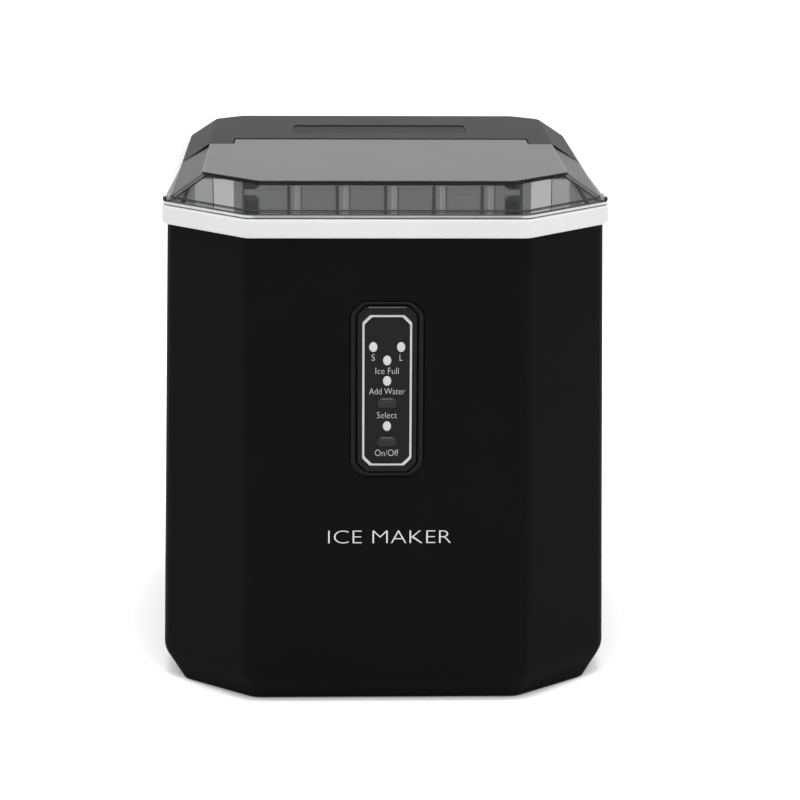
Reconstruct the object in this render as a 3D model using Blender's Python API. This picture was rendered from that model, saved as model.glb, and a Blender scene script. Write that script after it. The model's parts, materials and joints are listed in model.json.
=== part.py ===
"""Countertop ice maker: an assembly of named sub-parts, in metres.

+Z is up, the front faces -Y, and the origin is on the floor under the middle of the machine.
"""
import math

import bmesh
import bpy
from mathutils import Matrix, Vector

for old_object in list(bpy.data.objects):
    bpy.data.objects.remove(old_object, do_unlink=True)

# ---------------------------------------------------------------- driving dimensions
GAP = 0.0004               # clearance between parts that touch on the real machine
RIM_HALF_WIDTH = 0.1439
RIM_FRONT = -0.173         # front plane of the white rim; its back plane is opposite
RIM_BACK = -RIM_FRONT
FRONT_FLAT = 0.0888        # half width of the flat front between the corner chamfers
FRONT_CHAMFER = 0.0505     # how far back the front corner chamfers reach
REAR_FLAT = 0.100
REAR_CHAMFER = 0.036

FOOT_HEIGHT = 0.0008       # how far the feet stand out below the housing
BEVEL_TOP = 0.0183         # top of the bevel round the foot of the housing
BODY_TOP = 0.3066
RIM_LOW = BODY_TOP + GAP
RIM_TOP = 0.3193
LID_LOW = RIM_TOP + GAP
LID_SHOULDER = 0.3246      # top of the lid's upright skirt
LID_TOP = 0.3379
FLANGE_HEIGHT = 0.0018           # the lid's foot flange, lying over the rim
FLANGE_SETBACK = 0.0010

BODY_TOP_INSET = 0.0034    # housing behind the rim's face at the top
BODY_FOOT_FLARE = 0.0033   # housing in front of the rim's face at the bevel
BODY_WALL = 0.0028
LID_WALL = 0.0022
CORNER_RADIUS = 0.012
CORNER_STEPS = 4

LID_SEAM = RIM_FRONT + 0.1833    # cross seam between the lid and the rear cover
HINGE_Y = RIM_FRONT + 0.2028
HINGE_RADIUS = 0.004
HINGE_Z = LID_TOP - HINGE_RADIUS
TONGUE_HALF = 0.1015
SEAM_GAP = 0.0008
PIN_RADIUS = 0.0015

PANEL_Z = 0.2096           # middle of the control panel
PANEL_SIZE = (0.0474, 0.1148)
BEZEL_SIZE = (0.0394, 0.1086)
SILVER_SIZE = (0.0315, 0.0981)
SILVER_DROP = 0.0006           # the silver line sits this far below the panel's middle
SILVER_WIDTH = 0.0017
PANEL_CHAMFER = 0.0095
BUTTON_SIZE = (0.0125, 0.0064)
LAMP_SIZE = (0.0053, 0.0063)
LAMPS = {
    "lamp_small_ice": (-0.0088, 0.2373),
    "lamp_large_ice": (0.0088, 0.2373),
    "lamp_ice_full": (0.0, 0.2286),
    "lamp_add_water": (0.0, 0.2154),
    "lamp_power": (0.0, 0.1859),
}
BUTTONS = {"select_button": 0.2011, "power_button": 0.1757}

LINER_FLOOR = 0.130
LINER_BACK = 0.072
LINER_WALL = 0.002
LINER_HALF = 0.1292
SHIELD_INSIDE = 0.1000            # splash shields beside the ice works
SHIELD_Y = -0.034
SHIELD_TOP = 0.3215
BASKET_BACK = -0.048
BASKET_FLOOR = 0.205
BASKET_TOP = 0.272
BASKET_HALF = 0.108
BASKET_WALL = 0.002

TRAY_AXIS = (0.034, 0.262)       # y and z of the water tray's pivots
SHOVEL_AXIS = (-0.018, 0.309)
SHOVEL_CREST = 0.314              # the shovel's blade and ribs stand up past its axis
FINGER_PITCH = 0.033
CHEEK_INSIDE = 0.094
FINGER_RADIUS = 0.0045
REAR_PANEL_SIZE = (0.179, 0.267)
REAR_PANEL_Z = 0.160
PANEL_SINK = 0.0022              # the rear panel lies this far inside the housing's face
FAN_CENTRE = (0.040, 0.070)      # x and z
FAN_RADIUS = 0.038
GLAND_PLACE = (-0.062, -0.105)   # x and z from the middle of the rear panel
DRAIN_PLACE = (-0.060, 0.036)     # y and z on the left side
DRAIN_SUMP_X = -0.100
DRAIN_CAP_X = -0.1416
SCREW_PLACES = {"left_low": (-0.081, -0.122), "right_low": (0.081, -0.122),
                "left_high": (-0.081, 0.122), "right_high": (0.081, 0.122)}
COMPRESSOR_CENTRE = (-0.062, 0.045)

# ---------------------------------------------------------------- finishes
BLACK_SATIN = ((0.012, 0.012, 0.013), 0.42, 0.0)
BLACK_GLOSS = ((0.010, 0.010, 0.011), 0.12, 0.0)
BLACK_RUBBER = ((0.02, 0.02, 0.02), 0.8, 0.0)
WHITE_PLASTIC = ((0.82, 0.83, 0.84), 0.35, 0.0)
LIGHT_PLASTIC = ((0.62, 0.64, 0.66), 0.45, 0.0)
GREY_PLASTIC = ((0.10, 0.10, 0.105), 0.4, 0.0)
MID_PLASTIC = ((0.30, 0.31, 0.32), 0.5, 0.0)
SMOKE_PLASTIC = ((0.35, 0.36, 0.37), 0.1, 0.0)
SILVER = ((0.62, 0.62, 0.63), 0.3, 1.0)
STEEL = ((0.45, 0.45, 0.46), 0.35, 1.0)
COPPER = ((0.72, 0.36, 0.20), 0.3, 1.0)
NICKEL = ((0.60, 0.58, 0.54), 0.25, 1.0)
ALUMINIUM = ((0.66, 0.67, 0.68), 0.4, 1.0)
BOARD_GREEN = ((0.03, 0.16, 0.07), 0.5, 0.0)
LAMP_WHITE = ((0.85, 0.87, 0.90), 0.3, 0.0)
SILICONE = ((0.75, 0.76, 0.74), 0.5, 0.0)


# ---------------------------------------------------------------- making objects
def material(name, finish):
    colour, roughness, metallic = finish
    made = bpy.data.materials.new(name)
    made.use_nodes = True
    shader = made.node_tree.nodes["Principled BSDF"]
    shader.inputs["Base Color"].default_value = (*colour, 1.0)
    shader.inputs["Roughness"].default_value = roughness
    shader.inputs["Metallic"].default_value = metallic
    return made


def place(name, mesh, finish, parent=None, smooth=35.0):
    """Turn a bmesh into a named object with a material of its own."""
    bmesh.ops.recalc_face_normals(mesh, faces=mesh.faces)
    data = bpy.data.meshes.new(name)
    mesh.to_mesh(data)
    mesh.free()
    data.shade_smooth()
    data.set_sharp_from_angle(angle=math.radians(smooth))
    made = bpy.data.objects.new(name, data)
    bpy.context.scene.collection.objects.link(made)
    if finish:
        data.materials.append(material(name, finish))
    if parent:
        made.parent = parent
    return made


def tool(name, mesh, parent=None):
    """A cutter or an added lump: it shapes another object and isn't part of the machine."""
    made = place(name, mesh, None, parent)
    made.hide_render = True
    made.display_type = 'WIRE'
    return made


def combine(target, other, operation):
    step = target.modifiers.new(operation.lower(), 'BOOLEAN')
    step.operation = operation
    step.object = other
    step.solver = 'EXACT'


def soften(target, width, segments=2):
    step = target.modifiers.new("soften", 'BEVEL')
    step.width = width
    step.segments = segments
    step.limit_method = 'ANGLE'
    step.angle_limit = math.radians(40.0)


def empty(name, location, rotation=(0.0, 0.0, 0.0)):
    made = bpy.data.objects.new(name, None)
    made.empty_display_size = 0.01
    made.location = location
    made.rotation_euler = rotation
    bpy.context.scene.collection.objects.link(made)
    return made


# ---------------------------------------------------------------- making meshes
def block(low, high, mesh=None):
    """An axis-aligned box, added to a mesh or alone in a new one."""
    mesh = mesh or bmesh.new()
    size = [b - a for a, b in zip(low, high)]
    middle = [(a + b) / 2.0 for a, b in zip(low, high)]
    matrix = Matrix.Translation(middle) @ Matrix.Diagonal((*size, 1.0))
    bmesh.ops.create_cube(mesh, size=1.0, matrix=matrix)
    return mesh


def rod(centre, axis, radius, length, segments=16, mesh=None, end_radius=None):
    """A cylinder or a cone, with its middle at centre and its length along X, Y or Z."""
    mesh = mesh or bmesh.new()
    turn = {"X": Matrix.Rotation(math.pi / 2, 4, 'Y'), "Y": Matrix.Rotation(-math.pi / 2, 4, 'X'),
            "Z": Matrix.Identity(4)}[axis]
    bmesh.ops.create_cone(mesh, cap_ends=True, segments=segments, radius1=radius,
                          radius2=radius if end_radius is None else end_radius, depth=length,
                          matrix=Matrix.Translation(centre) @ turn)
    return mesh


def skin(rings, loop=False, mesh=None):
    """Faces between rings of points; capped at both ends, or joined end to end."""
    mesh = mesh or bmesh.new()
    rows = [[mesh.verts.new(point) for point in ring] for ring in rings]
    pairs = list(zip(rows, rows[1:]))
    if loop:
        pairs.append((rows[-1], rows[0]))
    for low, high in pairs:
        for i in range(len(low)):
            j = (i + 1) % len(low)
            mesh.faces.new((low[i], low[j], high[j], high[i]))
    if not loop:
        mesh.faces.new(rows[0][::-1])
        mesh.faces.new(rows[-1])
    return mesh


def prism(outline, low, high, plane="XY"):
    """Extrude a flat outline; plane XY extrudes along Z, YZ along X and XZ along Y."""
    order = {"XY": lambda u, v, w: (u, v, w), "YZ": lambda u, v, w: (w, u, v),
             "XZ": lambda u, v, w: (u, w, v)}[plane]
    return skin([[order(u, v, w) for u, v in outline] for w in (low, high)])


def turned(profile, centre, axis="Z", steps=20):
    """Spin a profile of (radius, height) points about an axis; its ends are capped flat."""
    place_point = {"Z": lambda a, b, h: (a, b, h), "Y": lambda a, b, h: (a, h, b),
                   "X": lambda a, b, h: (h, a, b)}[axis]
    rings = []
    for radius, height in profile:
        turns = [2 * math.pi * k / steps for k in range(steps)]
        ring = [place_point(radius * math.cos(t), radius * math.sin(t), height) for t in turns]
        rings.append([Vector(centre) + Vector(point) for point in ring])
    return skin(rings)


def rounded(corners, radius, steps=CORNER_STEPS):
    """Replace each corner of a closed outline with an arc."""
    points = []
    for k, corner in enumerate(corners):
        here = Vector(corner)
        back = (Vector(corners[k - 1]) - here).normalized()
        ahead = (Vector(corners[(k + 1) % len(corners)]) - here).normalized()
        half = back.angle(ahead) / 2
        reach = radius / math.tan(half)
        centre = here + (back + ahead).normalized() * (radius / math.sin(half))
        start = here + back * reach - centre
        sweep = start.angle_signed(here + ahead * reach - centre)
        for step in range(steps + 1):
            turn = Matrix.Rotation(-sweep * step / steps, 2)
            points.append(tuple(centre + turn @ start))
    return points


def inset(corners, distance):
    """Move every side of an outline inwards by the same distance."""
    lines = []
    for k, corner in enumerate(corners):
        here, ahead = Vector(corner), Vector(corners[(k + 1) % len(corners)])
        along = (ahead - here).normalized()
        lines.append((here + Vector((-along.y, along.x)) * distance, along))
    moved = []
    for k, (start, along) in enumerate(lines):
        before, back = lines[k - 1]
        reach = (start - before).cross(along) / back.cross(along)
        moved.append(tuple(before + back * reach))
    return moved


def rectangle(width, height, chamfer, centre=(0.0, 0.0)):
    """An upright rectangle with its four corners cut off."""
    x, z = width / 2, height / 2
    corners = [(x - chamfer, -z), (x, -z + chamfer), (x, z - chamfer), (x - chamfer, z)]
    corners += [(-u, v) for u, v in reversed(corners)]
    return [(u + centre[0], v + centre[1]) for u, v in corners]


def octagon(half, front, back, front_half, front_end, rear_half, rear_end):
    """Plan outline: square sides with all four corners cut off."""
    right = [(front_half, front), (half, front_end), (half, rear_end), (rear_half, back)]
    return right + [(-x, y) for x, y in reversed(right)]


def at_height(outline, z):
    return [(x, y, z) for x, y in outline]


def eased(stations, reach, steps=3):
    """Round the inner corners of a list of (height, plan outline) stations."""
    def between(a, b, t):
        outline = [tuple(Vector(p).lerp(Vector(q), t)) for p, q in zip(a[1], b[1])]
        return (a[0] + (b[0] - a[0]) * t, outline)

    def distance(a, b):
        return max((Vector((*p, a[0])) - Vector((*q, b[0]))).length for p, q in zip(a[1], b[1]))

    soft = [stations[0]]
    for before, here, after in zip(stations, stations[1:], stations[2:]):
        start = between(here, before, min(0.45, reach / distance(here, before)))
        end = between(here, after, min(0.45, reach / distance(here, after)))
        for step in range(steps + 1):
            t = step / steps
            soft.append(between(between(start, here, t), between(here, end, t), t))
    return soft + [stations[-1]]


def rings_of(stations, radius=CORNER_RADIUS):
    return [at_height(rounded(outline, radius), z) for z, outline in stations]


RIM_PLAN = octagon(RIM_HALF_WIDTH, RIM_FRONT, RIM_BACK, FRONT_FLAT, RIM_FRONT + FRONT_CHAMFER,
                   REAR_FLAT, RIM_BACK - REAR_CHAMFER)
FOOT_PLAN = octagon(0.1342, -0.1685, 0.1665, 0.0860, -0.1320, 0.0965, 0.1335)


def body_plan(z):
    """Outer outline of the housing at a height above its bevel."""
    share = (BODY_TOP - z) / (BODY_TOP - BEVEL_TOP)
    return inset(RIM_PLAN, BODY_TOP_INSET - share * (BODY_TOP_INSET + BODY_FOOT_FLARE))


def body_front(z):
    """Y of the housing's front face at a height."""
    return body_plan(z)[0][1]


# The front and back faces lean in towards the top; what sits on them is placed from these empties,
# with local Y along the face's normal and local Z up the face.
LEAN = math.atan((BODY_TOP_INSET + BODY_FOOT_FLARE) / (BODY_TOP - BEVEL_TOP))
panel_place = empty("panel_place", (0.0, body_front(PANEL_Z), PANEL_Z), (-LEAN, 0.0, 0.0))
rear_place = empty("rear_place", (0.0, -body_front(REAR_PANEL_Z), REAR_PANEL_Z), (LEAN, 0.0, 0.0))


# ---------------------------------------------------------------- housing
def make_body_shell():
    """Front, sides and rear corners in one wrap, open at the top, the floor and the back."""
    stations = [(FOOT_HEIGHT, FOOT_PLAN), (BEVEL_TOP, body_plan(BEVEL_TOP)), (BODY_TOP, body_plan(BODY_TOP))]
    outer = rings_of(eased(stations, 0.006))
    inner = rings_of([(z, inset(plan, BODY_WALL)) for z, plan in stations], CORNER_RADIUS - BODY_WALL)
    shell = place("body_shell", skin(outer + inner[::-1], loop=True), BLACK_SATIN)
    rear = rectangle(REAR_PANEL_SIZE[0] + 2 * GAP, REAR_PANEL_SIZE[1] + 2 * GAP, 0.010)
    combine(shell, tool("cut_rear_window", prism(rear, -0.012, 0.012, "XZ"), rear_place), 'DIFFERENCE')
    window = rectangle(*PANEL_SIZE, PANEL_CHAMFER)
    combine(shell, tool("cut_panel_window", prism(window, -0.010, 0.010, "XZ"), panel_place), 'DIFFERENCE')
    vents = bmesh.new()
    for side in (-1, 1):
        for k in range(8):
            y = 0.030 + 0.011 * k
            block((side * 0.142 - 0.012, y, 0.085), (side * 0.142 + 0.012, y + 0.0045, 0.135), vents)
    combine(shell, tool("cut_side_vents", vents), 'DIFFERENCE')
    drain = rod((-0.145, *DRAIN_PLACE), "X", 0.0125, 0.02, 20)
    combine(shell, tool("cut_drain_hole", drain), 'DIFFERENCE')


def make_rear_panel():
    """Cover plate over the machinery, with the fan's exhaust slots and its four screws."""
    plate = prism(rectangle(*REAR_PANEL_SIZE, 0.010), -PANEL_SINK - 0.0024, -PANEL_SINK, "XZ")
    panel = place("rear_panel", plate, BLACK_SATIN, rear_place)
    slots = bmesh.new()
    for k in range(9):
        rise = 0.009 * (k - 4)
        half = math.sqrt((FAN_RADIUS + 0.002) ** 2 - rise ** 2)
        z = FAN_CENTRE[1] - REAR_PANEL_Z + rise
        block((FAN_CENTRE[0] - half, -0.01, z - 0.0022), (FAN_CENTRE[0] + half, 0.01, z + 0.0022), slots)
    rod((GLAND_PLACE[0], 0.0, GLAND_PLACE[1]), "Y", 0.0074, 0.02, 12, slots)
    for x, z in SCREW_PLACES.values():
        rod((x, 0.0, z), "Y", 0.0020, 0.02, 8, slots)
    combine(panel, tool("cut_rear_slots", slots, rear_place), 'DIFFERENCE')
    for label, (x, z) in SCREW_PLACES.items():
        profile = [(0.0015, -0.0080), (0.0015, GAP), (0.0034, GAP), (0.0030, 0.0016), (0.0014, 0.0020)]
        place("rear_screw_" + label, turned(profile, (x, -PANEL_SINK, z), "Y", 10), STEEL, rear_place)


def make_base():
    """Floor plate inside the housing and the rubber feet under it."""
    plan = inset(FOOT_PLAN, BODY_WALL + 0.0006)
    pan = skin([at_height(rounded(plan, 0.009, 2), z) for z in (0.0048, 0.0078)])
    place("base_pan", pan, BLACK_SATIN)
    foot = [(0.0085, 0.0), (0.0095, 0.0012), (0.0095, 0.0044)]
    for depth, y in (("front", -0.130), ("rear", 0.130)):
        for side, x in (("left", -0.080), ("right", 0.080)):
            place("foot_%s_%s" % (depth, side), turned(foot, (x, y, 0.0), "Z", 16), BLACK_RUBBER)


def make_top_rim():
    """White band that closes the top of the housing and carries the lid."""
    edge = 0.0022
    side = [(RIM_LOW, inset(RIM_PLAN, 0.004)), (RIM_LOW, RIM_PLAN), (RIM_TOP, RIM_PLAN)]
    side.append((RIM_TOP, inset(RIM_PLAN, 0.0125)))
    outer = rings_of(eased(side, edge, 3), 0.009)
    inner = rings_of([(RIM_LOW, inset(RIM_PLAN, 0.0125))], 0.0035)
    place("top_rim", skin(outer[:-1] + rings_of(side[-1:], 0.0035) + inner, loop=True), WHITE_PLASTIC)


# ---------------------------------------------------------------- lid and rear cover
def roof(grow):
    """The whole top of the machine as one hollow form, grown outwards or inwards by a distance."""
    skirt = octagon(0.1381, RIM_FRONT + 0.0048, RIM_BACK - 0.0048, 0.0868, RIM_FRONT + 0.0505,
                    0.0985, RIM_BACK - REAR_CHAMFER - 0.002)
    top = octagon(0.1186, RIM_FRONT + 0.0333, RIM_FRONT + 0.3190, 0.0813, RIM_FRONT + 0.0676,
                  0.1000, RIM_FRONT + 0.3040)
    middle = inset(top, 0.030)
    stations = [(LID_LOW, skirt), (LID_SHOULDER, skirt), (LID_TOP, top), (LID_TOP + 0.0004, middle)]
    if grow:
        low = (LID_LOW - 0.01, inset(skirt, LID_WALL))
        stations = [low, (LID_SHOULDER - 0.0009, inset(skirt, LID_WALL)),
                    (LID_TOP - LID_WALL, inset(top, 0.0005)), (LID_TOP - LID_WALL + 0.0004, middle)]
    return skin(rings_of(eased(stations, 0.0022, 2), 0.007))


def slab_behind(y, tongue_half):
    """A tall block behind the cross seam, with a notch cut out for the lid's tongue."""
    far, notch = 0.3, HINGE_Y + HINGE_RADIUS + SEAM_GAP
    outline = [(-far, y), (-tongue_half, y), (-tongue_half, notch), (tongue_half, notch), (tongue_half, y),
               (far, y), (far, far), (-far, far)]
    return prism(outline, 0.25, 0.40)


def make_lid():
    """Smoked front lid: a shell with a tongue at the back that turns on two pins."""
    lid = place("lid", roof(0), SMOKE_PLASTIC)
    combine(lid, tool("cut_lid_inside", roof(1)), 'DIFFERENCE')
    low, high = LID_LOW, LID_LOW + FLANGE_HEIGHT
    flange = rings_of([(low, inset(RIM_PLAN, FLANGE_SETBACK)), (high, inset(RIM_PLAN, FLANGE_SETBACK)),
                       (high, inset(RIM_PLAN, 0.0065)), (low, inset(RIM_PLAN, 0.0065))], 0.009)
    combine(lid, tool("add_lid_flange", skin(flange, loop=True)), 'UNION')
    combine(lid, tool("cut_lid_back", block((-0.3, LID_SEAM, 0.25), (0.3, 0.3, 0.40))), 'DIFFERENCE')
    arc = [math.pi * (0.5 - k / 6) for k in range(10)]
    barrel = [(HINGE_Y + HINGE_RADIUS * math.cos(a), HINGE_Z + HINGE_RADIUS * math.sin(a)) for a in arc]
    profile = [(LID_SEAM - 0.004, LID_TOP - 0.0002)] + barrel
    profile.append((HINGE_Y - 0.0040, LID_TOP - LID_WALL))
    profile.append((LID_SEAM - 0.004, LID_TOP - LID_WALL))
    combine(lid, tool("add_lid_tongue", prism(profile, -TONGUE_HALF, TONGUE_HALF, "YZ")), 'UNION')
    bores = rod((-TONGUE_HALF, HINGE_Y, HINGE_Z), "X", PIN_RADIUS + 0.0004, 0.018, 12)
    rod((TONGUE_HALF, HINGE_Y, HINGE_Z), "X", PIN_RADIUS + 0.0004, 0.018, 12, bores)
    combine(lid, tool("cut_lid_bores", bores), 'DIFFERENCE')
    for side, label in ((-1, "left"), (1, "right")):
        ends = sorted((side * 0.1384, side * 0.1428))
        tab = block((ends[0], RIM_FRONT + 0.0525, LID_LOW + FLANGE_HEIGHT + 0.0004),
                    (ends[1], RIM_FRONT + 0.0570, LID_LOW + FLANGE_HEIGHT + 0.0028))
        soften(place("lid_tab_" + label, tab, BLACK_RUBBER), 0.0010, 2)
        pin = rod((side * TONGUE_HALF, HINGE_Y, HINGE_Z), "X", PIN_RADIUS, 0.015, 12)
        place("hinge_pin_" + label, pin, STEEL)


def make_rear_cover():
    """Fixed cover behind the lid, with the cheeks that hold the lid's pins."""
    cover = place("rear_cover", roof(0), GREY_PLASTIC)
    combine(cover, tool("cut_cover_inside", roof(1)), 'DIFFERENCE')
    keep = slab_behind(LID_SEAM + SEAM_GAP, TONGUE_HALF + SEAM_GAP)
    combine(cover, tool("keep_cover_back", keep), 'INTERSECT')
    cheeks = bmesh.new()
    for side in (-1, 1):
        ends = sorted((side * (TONGUE_HALF + SEAM_GAP), side * 0.1125))
        block((ends[0], LID_SEAM + SEAM_GAP + 0.0004, HINGE_Z - 0.006), (ends[1], HINGE_Y + 0.008, LID_TOP - 0.001),
              cheeks)
    combine(cover, tool("add_cover_cheeks", cheeks), 'UNION')
    bores = rod((-TONGUE_HALF, HINGE_Y, HINGE_Z), "X", PIN_RADIUS + 0.0004, 0.018, 12)
    rod((TONGUE_HALF, HINGE_Y, HINGE_Z), "X", PIN_RADIUS + 0.0004, 0.018, 12, bores)
    combine(cover, tool("cut_cover_bores", bores), 'DIFFERENCE')
    badge = rounded(rectangle(0.123, 0.037, 0.004, (0.0, RIM_FRONT + 0.2512)), 0.003, 2)
    combine(cover, tool("cut_cover_badge", prism(badge, LID_TOP - 0.0004, LID_TOP + 0.01)), 'DIFFERENCE')


# ---------------------------------------------------------------- control panel
def panel_ring(size, chamfer, y, drop=0.0):
    outline = rounded(rectangle(*size, chamfer, (0.0, -drop)), 0.0022, 2)
    return [(x, y, z) for x, z in outline]


def panel_height(z):
    """Height up the leaning face, from the panel's middle, of a point at a true height."""
    return (z - PANEL_Z) / math.cos(LEAN)


def oval(size, z, x=0.0, steps=14):
    turns = [2 * math.pi * k / steps for k in range(steps)]
    return [(x + size[0] / 2 * math.cos(t), z + size[1] / 2 * math.sin(t)) for t in turns]


def make_control_panel():
    """Bezel, printed overlay, silver trim, lamps and the two sprung buttons."""
    outer = (PANEL_SIZE[0] - 2 * GAP, PANEL_SIZE[1] - 2 * GAP)
    rings = [panel_ring(outer, PANEL_CHAMFER, 0.0050), panel_ring(outer, PANEL_CHAMFER, 0.0016),
             panel_ring(BEZEL_SIZE, 0.0070, 0.0016), panel_ring(BEZEL_SIZE, 0.0070, -0.0004),
             panel_ring((BEZEL_SIZE[0] - 0.0016, BEZEL_SIZE[1] - 0.0016), 0.0066, -0.0012)]
    pocket = (SILVER_SIZE[0] + 2 * GAP, SILVER_SIZE[1] + 2 * GAP)
    rings.append(panel_ring((pocket[0] + 0.0012, pocket[1] + 0.0012), 0.0051, -0.0012, SILVER_DROP))
    rings.append(panel_ring(pocket, 0.0048, -0.0006, SILVER_DROP))
    rings.append(panel_ring(pocket, 0.0048, 0.0014, SILVER_DROP))
    bezel = place("control_bezel", skin(rings), BLACK_GLOSS, panel_place)

    inside = (SILVER_SIZE[0] - 2 * SILVER_WIDTH, SILVER_SIZE[1] - 2 * SILVER_WIDTH)
    trim = [panel_ring(size, chamfer, y, SILVER_DROP)
            for size, chamfer, y in ((SILVER_SIZE, 0.0046, 0.0010), (SILVER_SIZE, 0.0046, 0.0),
                                     (inside, 0.0038, 0.0), (inside, 0.0038, 0.0010))]
    place("silver_trim", skin(trim, loop=True), SILVER, panel_place)
    sheet = (inside[0] - 2 * GAP, inside[1] - 2 * GAP)
    overlay = place("control_overlay", skin([panel_ring(sheet, 0.0036, y, SILVER_DROP) for y in (0.0010, 0.0002)]),
                    BLACK_GLOSS, panel_place)
    wells = bmesh.new()
    for x, z in LAMPS.values():
        well = oval([side + 2 * GAP for side in LAMP_SIZE], panel_height(z), x)
        skin([[(u, y, v) for u, v in well] for y in (-0.01, 0.02)], mesh=wells)
    for z in BUTTONS.values():
        half_x, half_z = BUTTON_SIZE[0] / 2 + GAP, BUTTON_SIZE[1] / 2 + GAP
        block((-half_x, -0.01, panel_height(z) - half_z), (half_x, 0.02, panel_height(z) + half_z), wells)
    cutter = tool("cut_panel_wells", wells, panel_place)
    combine(bezel, cutter, 'DIFFERENCE')
    combine(overlay, cutter, 'DIFFERENCE')
    for name, (x, z) in LAMPS.items():
        flat = oval(LAMP_SIZE, panel_height(z), x)
        crown = oval([side * 0.55 for side in LAMP_SIZE], panel_height(z), x)
        rings = [[(u, y, v) for u, v in flat] for y in (0.0065, -0.0002)]
        rings.append([(u, -0.0009, v) for u, v in crown])
        place(name, skin(rings), LAMP_WHITE, panel_place)
    for name, z in BUTTONS.items():
        half_x, half_z = BUTTON_SIZE[0] / 2, BUTTON_SIZE[1] / 2
        cap = rounded(rectangle(2 * half_x, 2 * half_z, 0.0012), 0.0008, 1)
        crown = rounded(rectangle(2 * half_x - 0.0012, 2 * half_z - 0.0012, 0.0010), 0.0006, 1)
        rings = [[(x, 0.0065, v) for x, v in cap], [(x, -0.0008, v) for x, v in cap],
                 [(x, -0.0013, v) for x, v in crown]]
        button = place(name, skin(rings), GREY_PLASTIC, panel_place)
        button.location = (0.0, 0.0, panel_height(z))
    place("display_board", block((-0.020, 0.0092, -0.052), (0.020, 0.0108, 0.052)), BOARD_GREEN, panel_place)


# ---------------------------------------------------------------- wet compartment
def liner_plan(half, front, back, flat):
    return octagon(half, front, back, flat, front + 0.042, half - 0.012, back - 0.012)


def make_inner_liner():
    """White tub: the reservoir below and the ice compartment above."""
    top = liner_plan(LINER_HALF, RIM_FRONT + 0.0138, LINER_BACK, 0.0835)
    low = liner_plan(LINER_HALF - 0.006, RIM_FRONT + 0.0200, LINER_BACK - 0.004, 0.0800)
    height = RIM_TOP - 0.0010
    outer = [(LINER_FLOOR, low), (height, top)]
    inner = [(height, inset(top, LINER_WALL)), (LINER_FLOOR + 0.0025, inset(low, LINER_WALL))]
    rings = rings_of(outer, 0.008) + rings_of(inner, 0.006)
    liner = place("inner_liner", skin(rings), WHITE_PLASTIC)
    shields = bmesh.new()
    for side in (-1, 1):
        ends = sorted((side * SHIELD_INSIDE, side * (LINER_HALF - LINER_WALL + 0.0004)))
        block((ends[0], SHIELD_Y, 0.270), (ends[1], SHIELD_Y + 0.003, SHIELD_TOP), shields)
    combine(liner, tool("add_liner_shields", shields), 'UNION')
    drain = rod((DRAIN_SUMP_X, DRAIN_PLACE[0], LINER_FLOOR), "Z", 0.003, 0.02, 12)
    combine(liner, tool("cut_liner_drain", drain), 'DIFFERENCE')
    for side, label in ((-1, "left"), (1, "right")):
        wall = LINER_HALF - LINER_WALL - 0.0010
        ends = sorted((side * (wall - GAP), side * (wall - 0.011)))
        pod = block((ends[0], -0.070, 0.284), (ends[1], -0.054, 0.300))
        soften(place("ice_full_sensor_" + label, pod, BLACK_SATIN), 0.003, 2)


def make_basket():
    """Lift-out ice basket with slotted walls and a perforated floor."""
    low = liner_plan(BASKET_HALF - 0.004, -0.146, BASKET_BACK - 0.002, 0.074)
    top = liner_plan(BASKET_HALF, -0.150, BASKET_BACK, 0.076)
    lip = liner_plan(BASKET_HALF + 0.002, -0.152, BASKET_BACK, 0.077)
    outer = [(BASKET_FLOOR, low), (BASKET_TOP - 0.003, top), (BASKET_TOP - 0.003, lip), (BASKET_TOP, lip)]
    inner = [(BASKET_TOP, inset(top, BASKET_WALL)), (BASKET_FLOOR + 0.0025, inset(low, BASKET_WALL))]
    basket = place("ice_basket", skin(rings_of(outer, 0.006) + rings_of(inner, 0.004)), LIGHT_PLASTIC)
    slots = bmesh.new()
    for k in range(7):
        x = 0.021 * (k - 3)
        block((x - 0.003, -0.160, 0.216), (x + 0.003, -0.040, 0.258), slots)
    for k in range(6):
        x = 0.030 * (k - 2.5)
        block((x - 0.003, -0.125, 0.200), (x + 0.003, -0.070, 0.210), slots)
    combine(basket, tool("cut_basket_slots", slots), 'DIFFERENCE')


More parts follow.
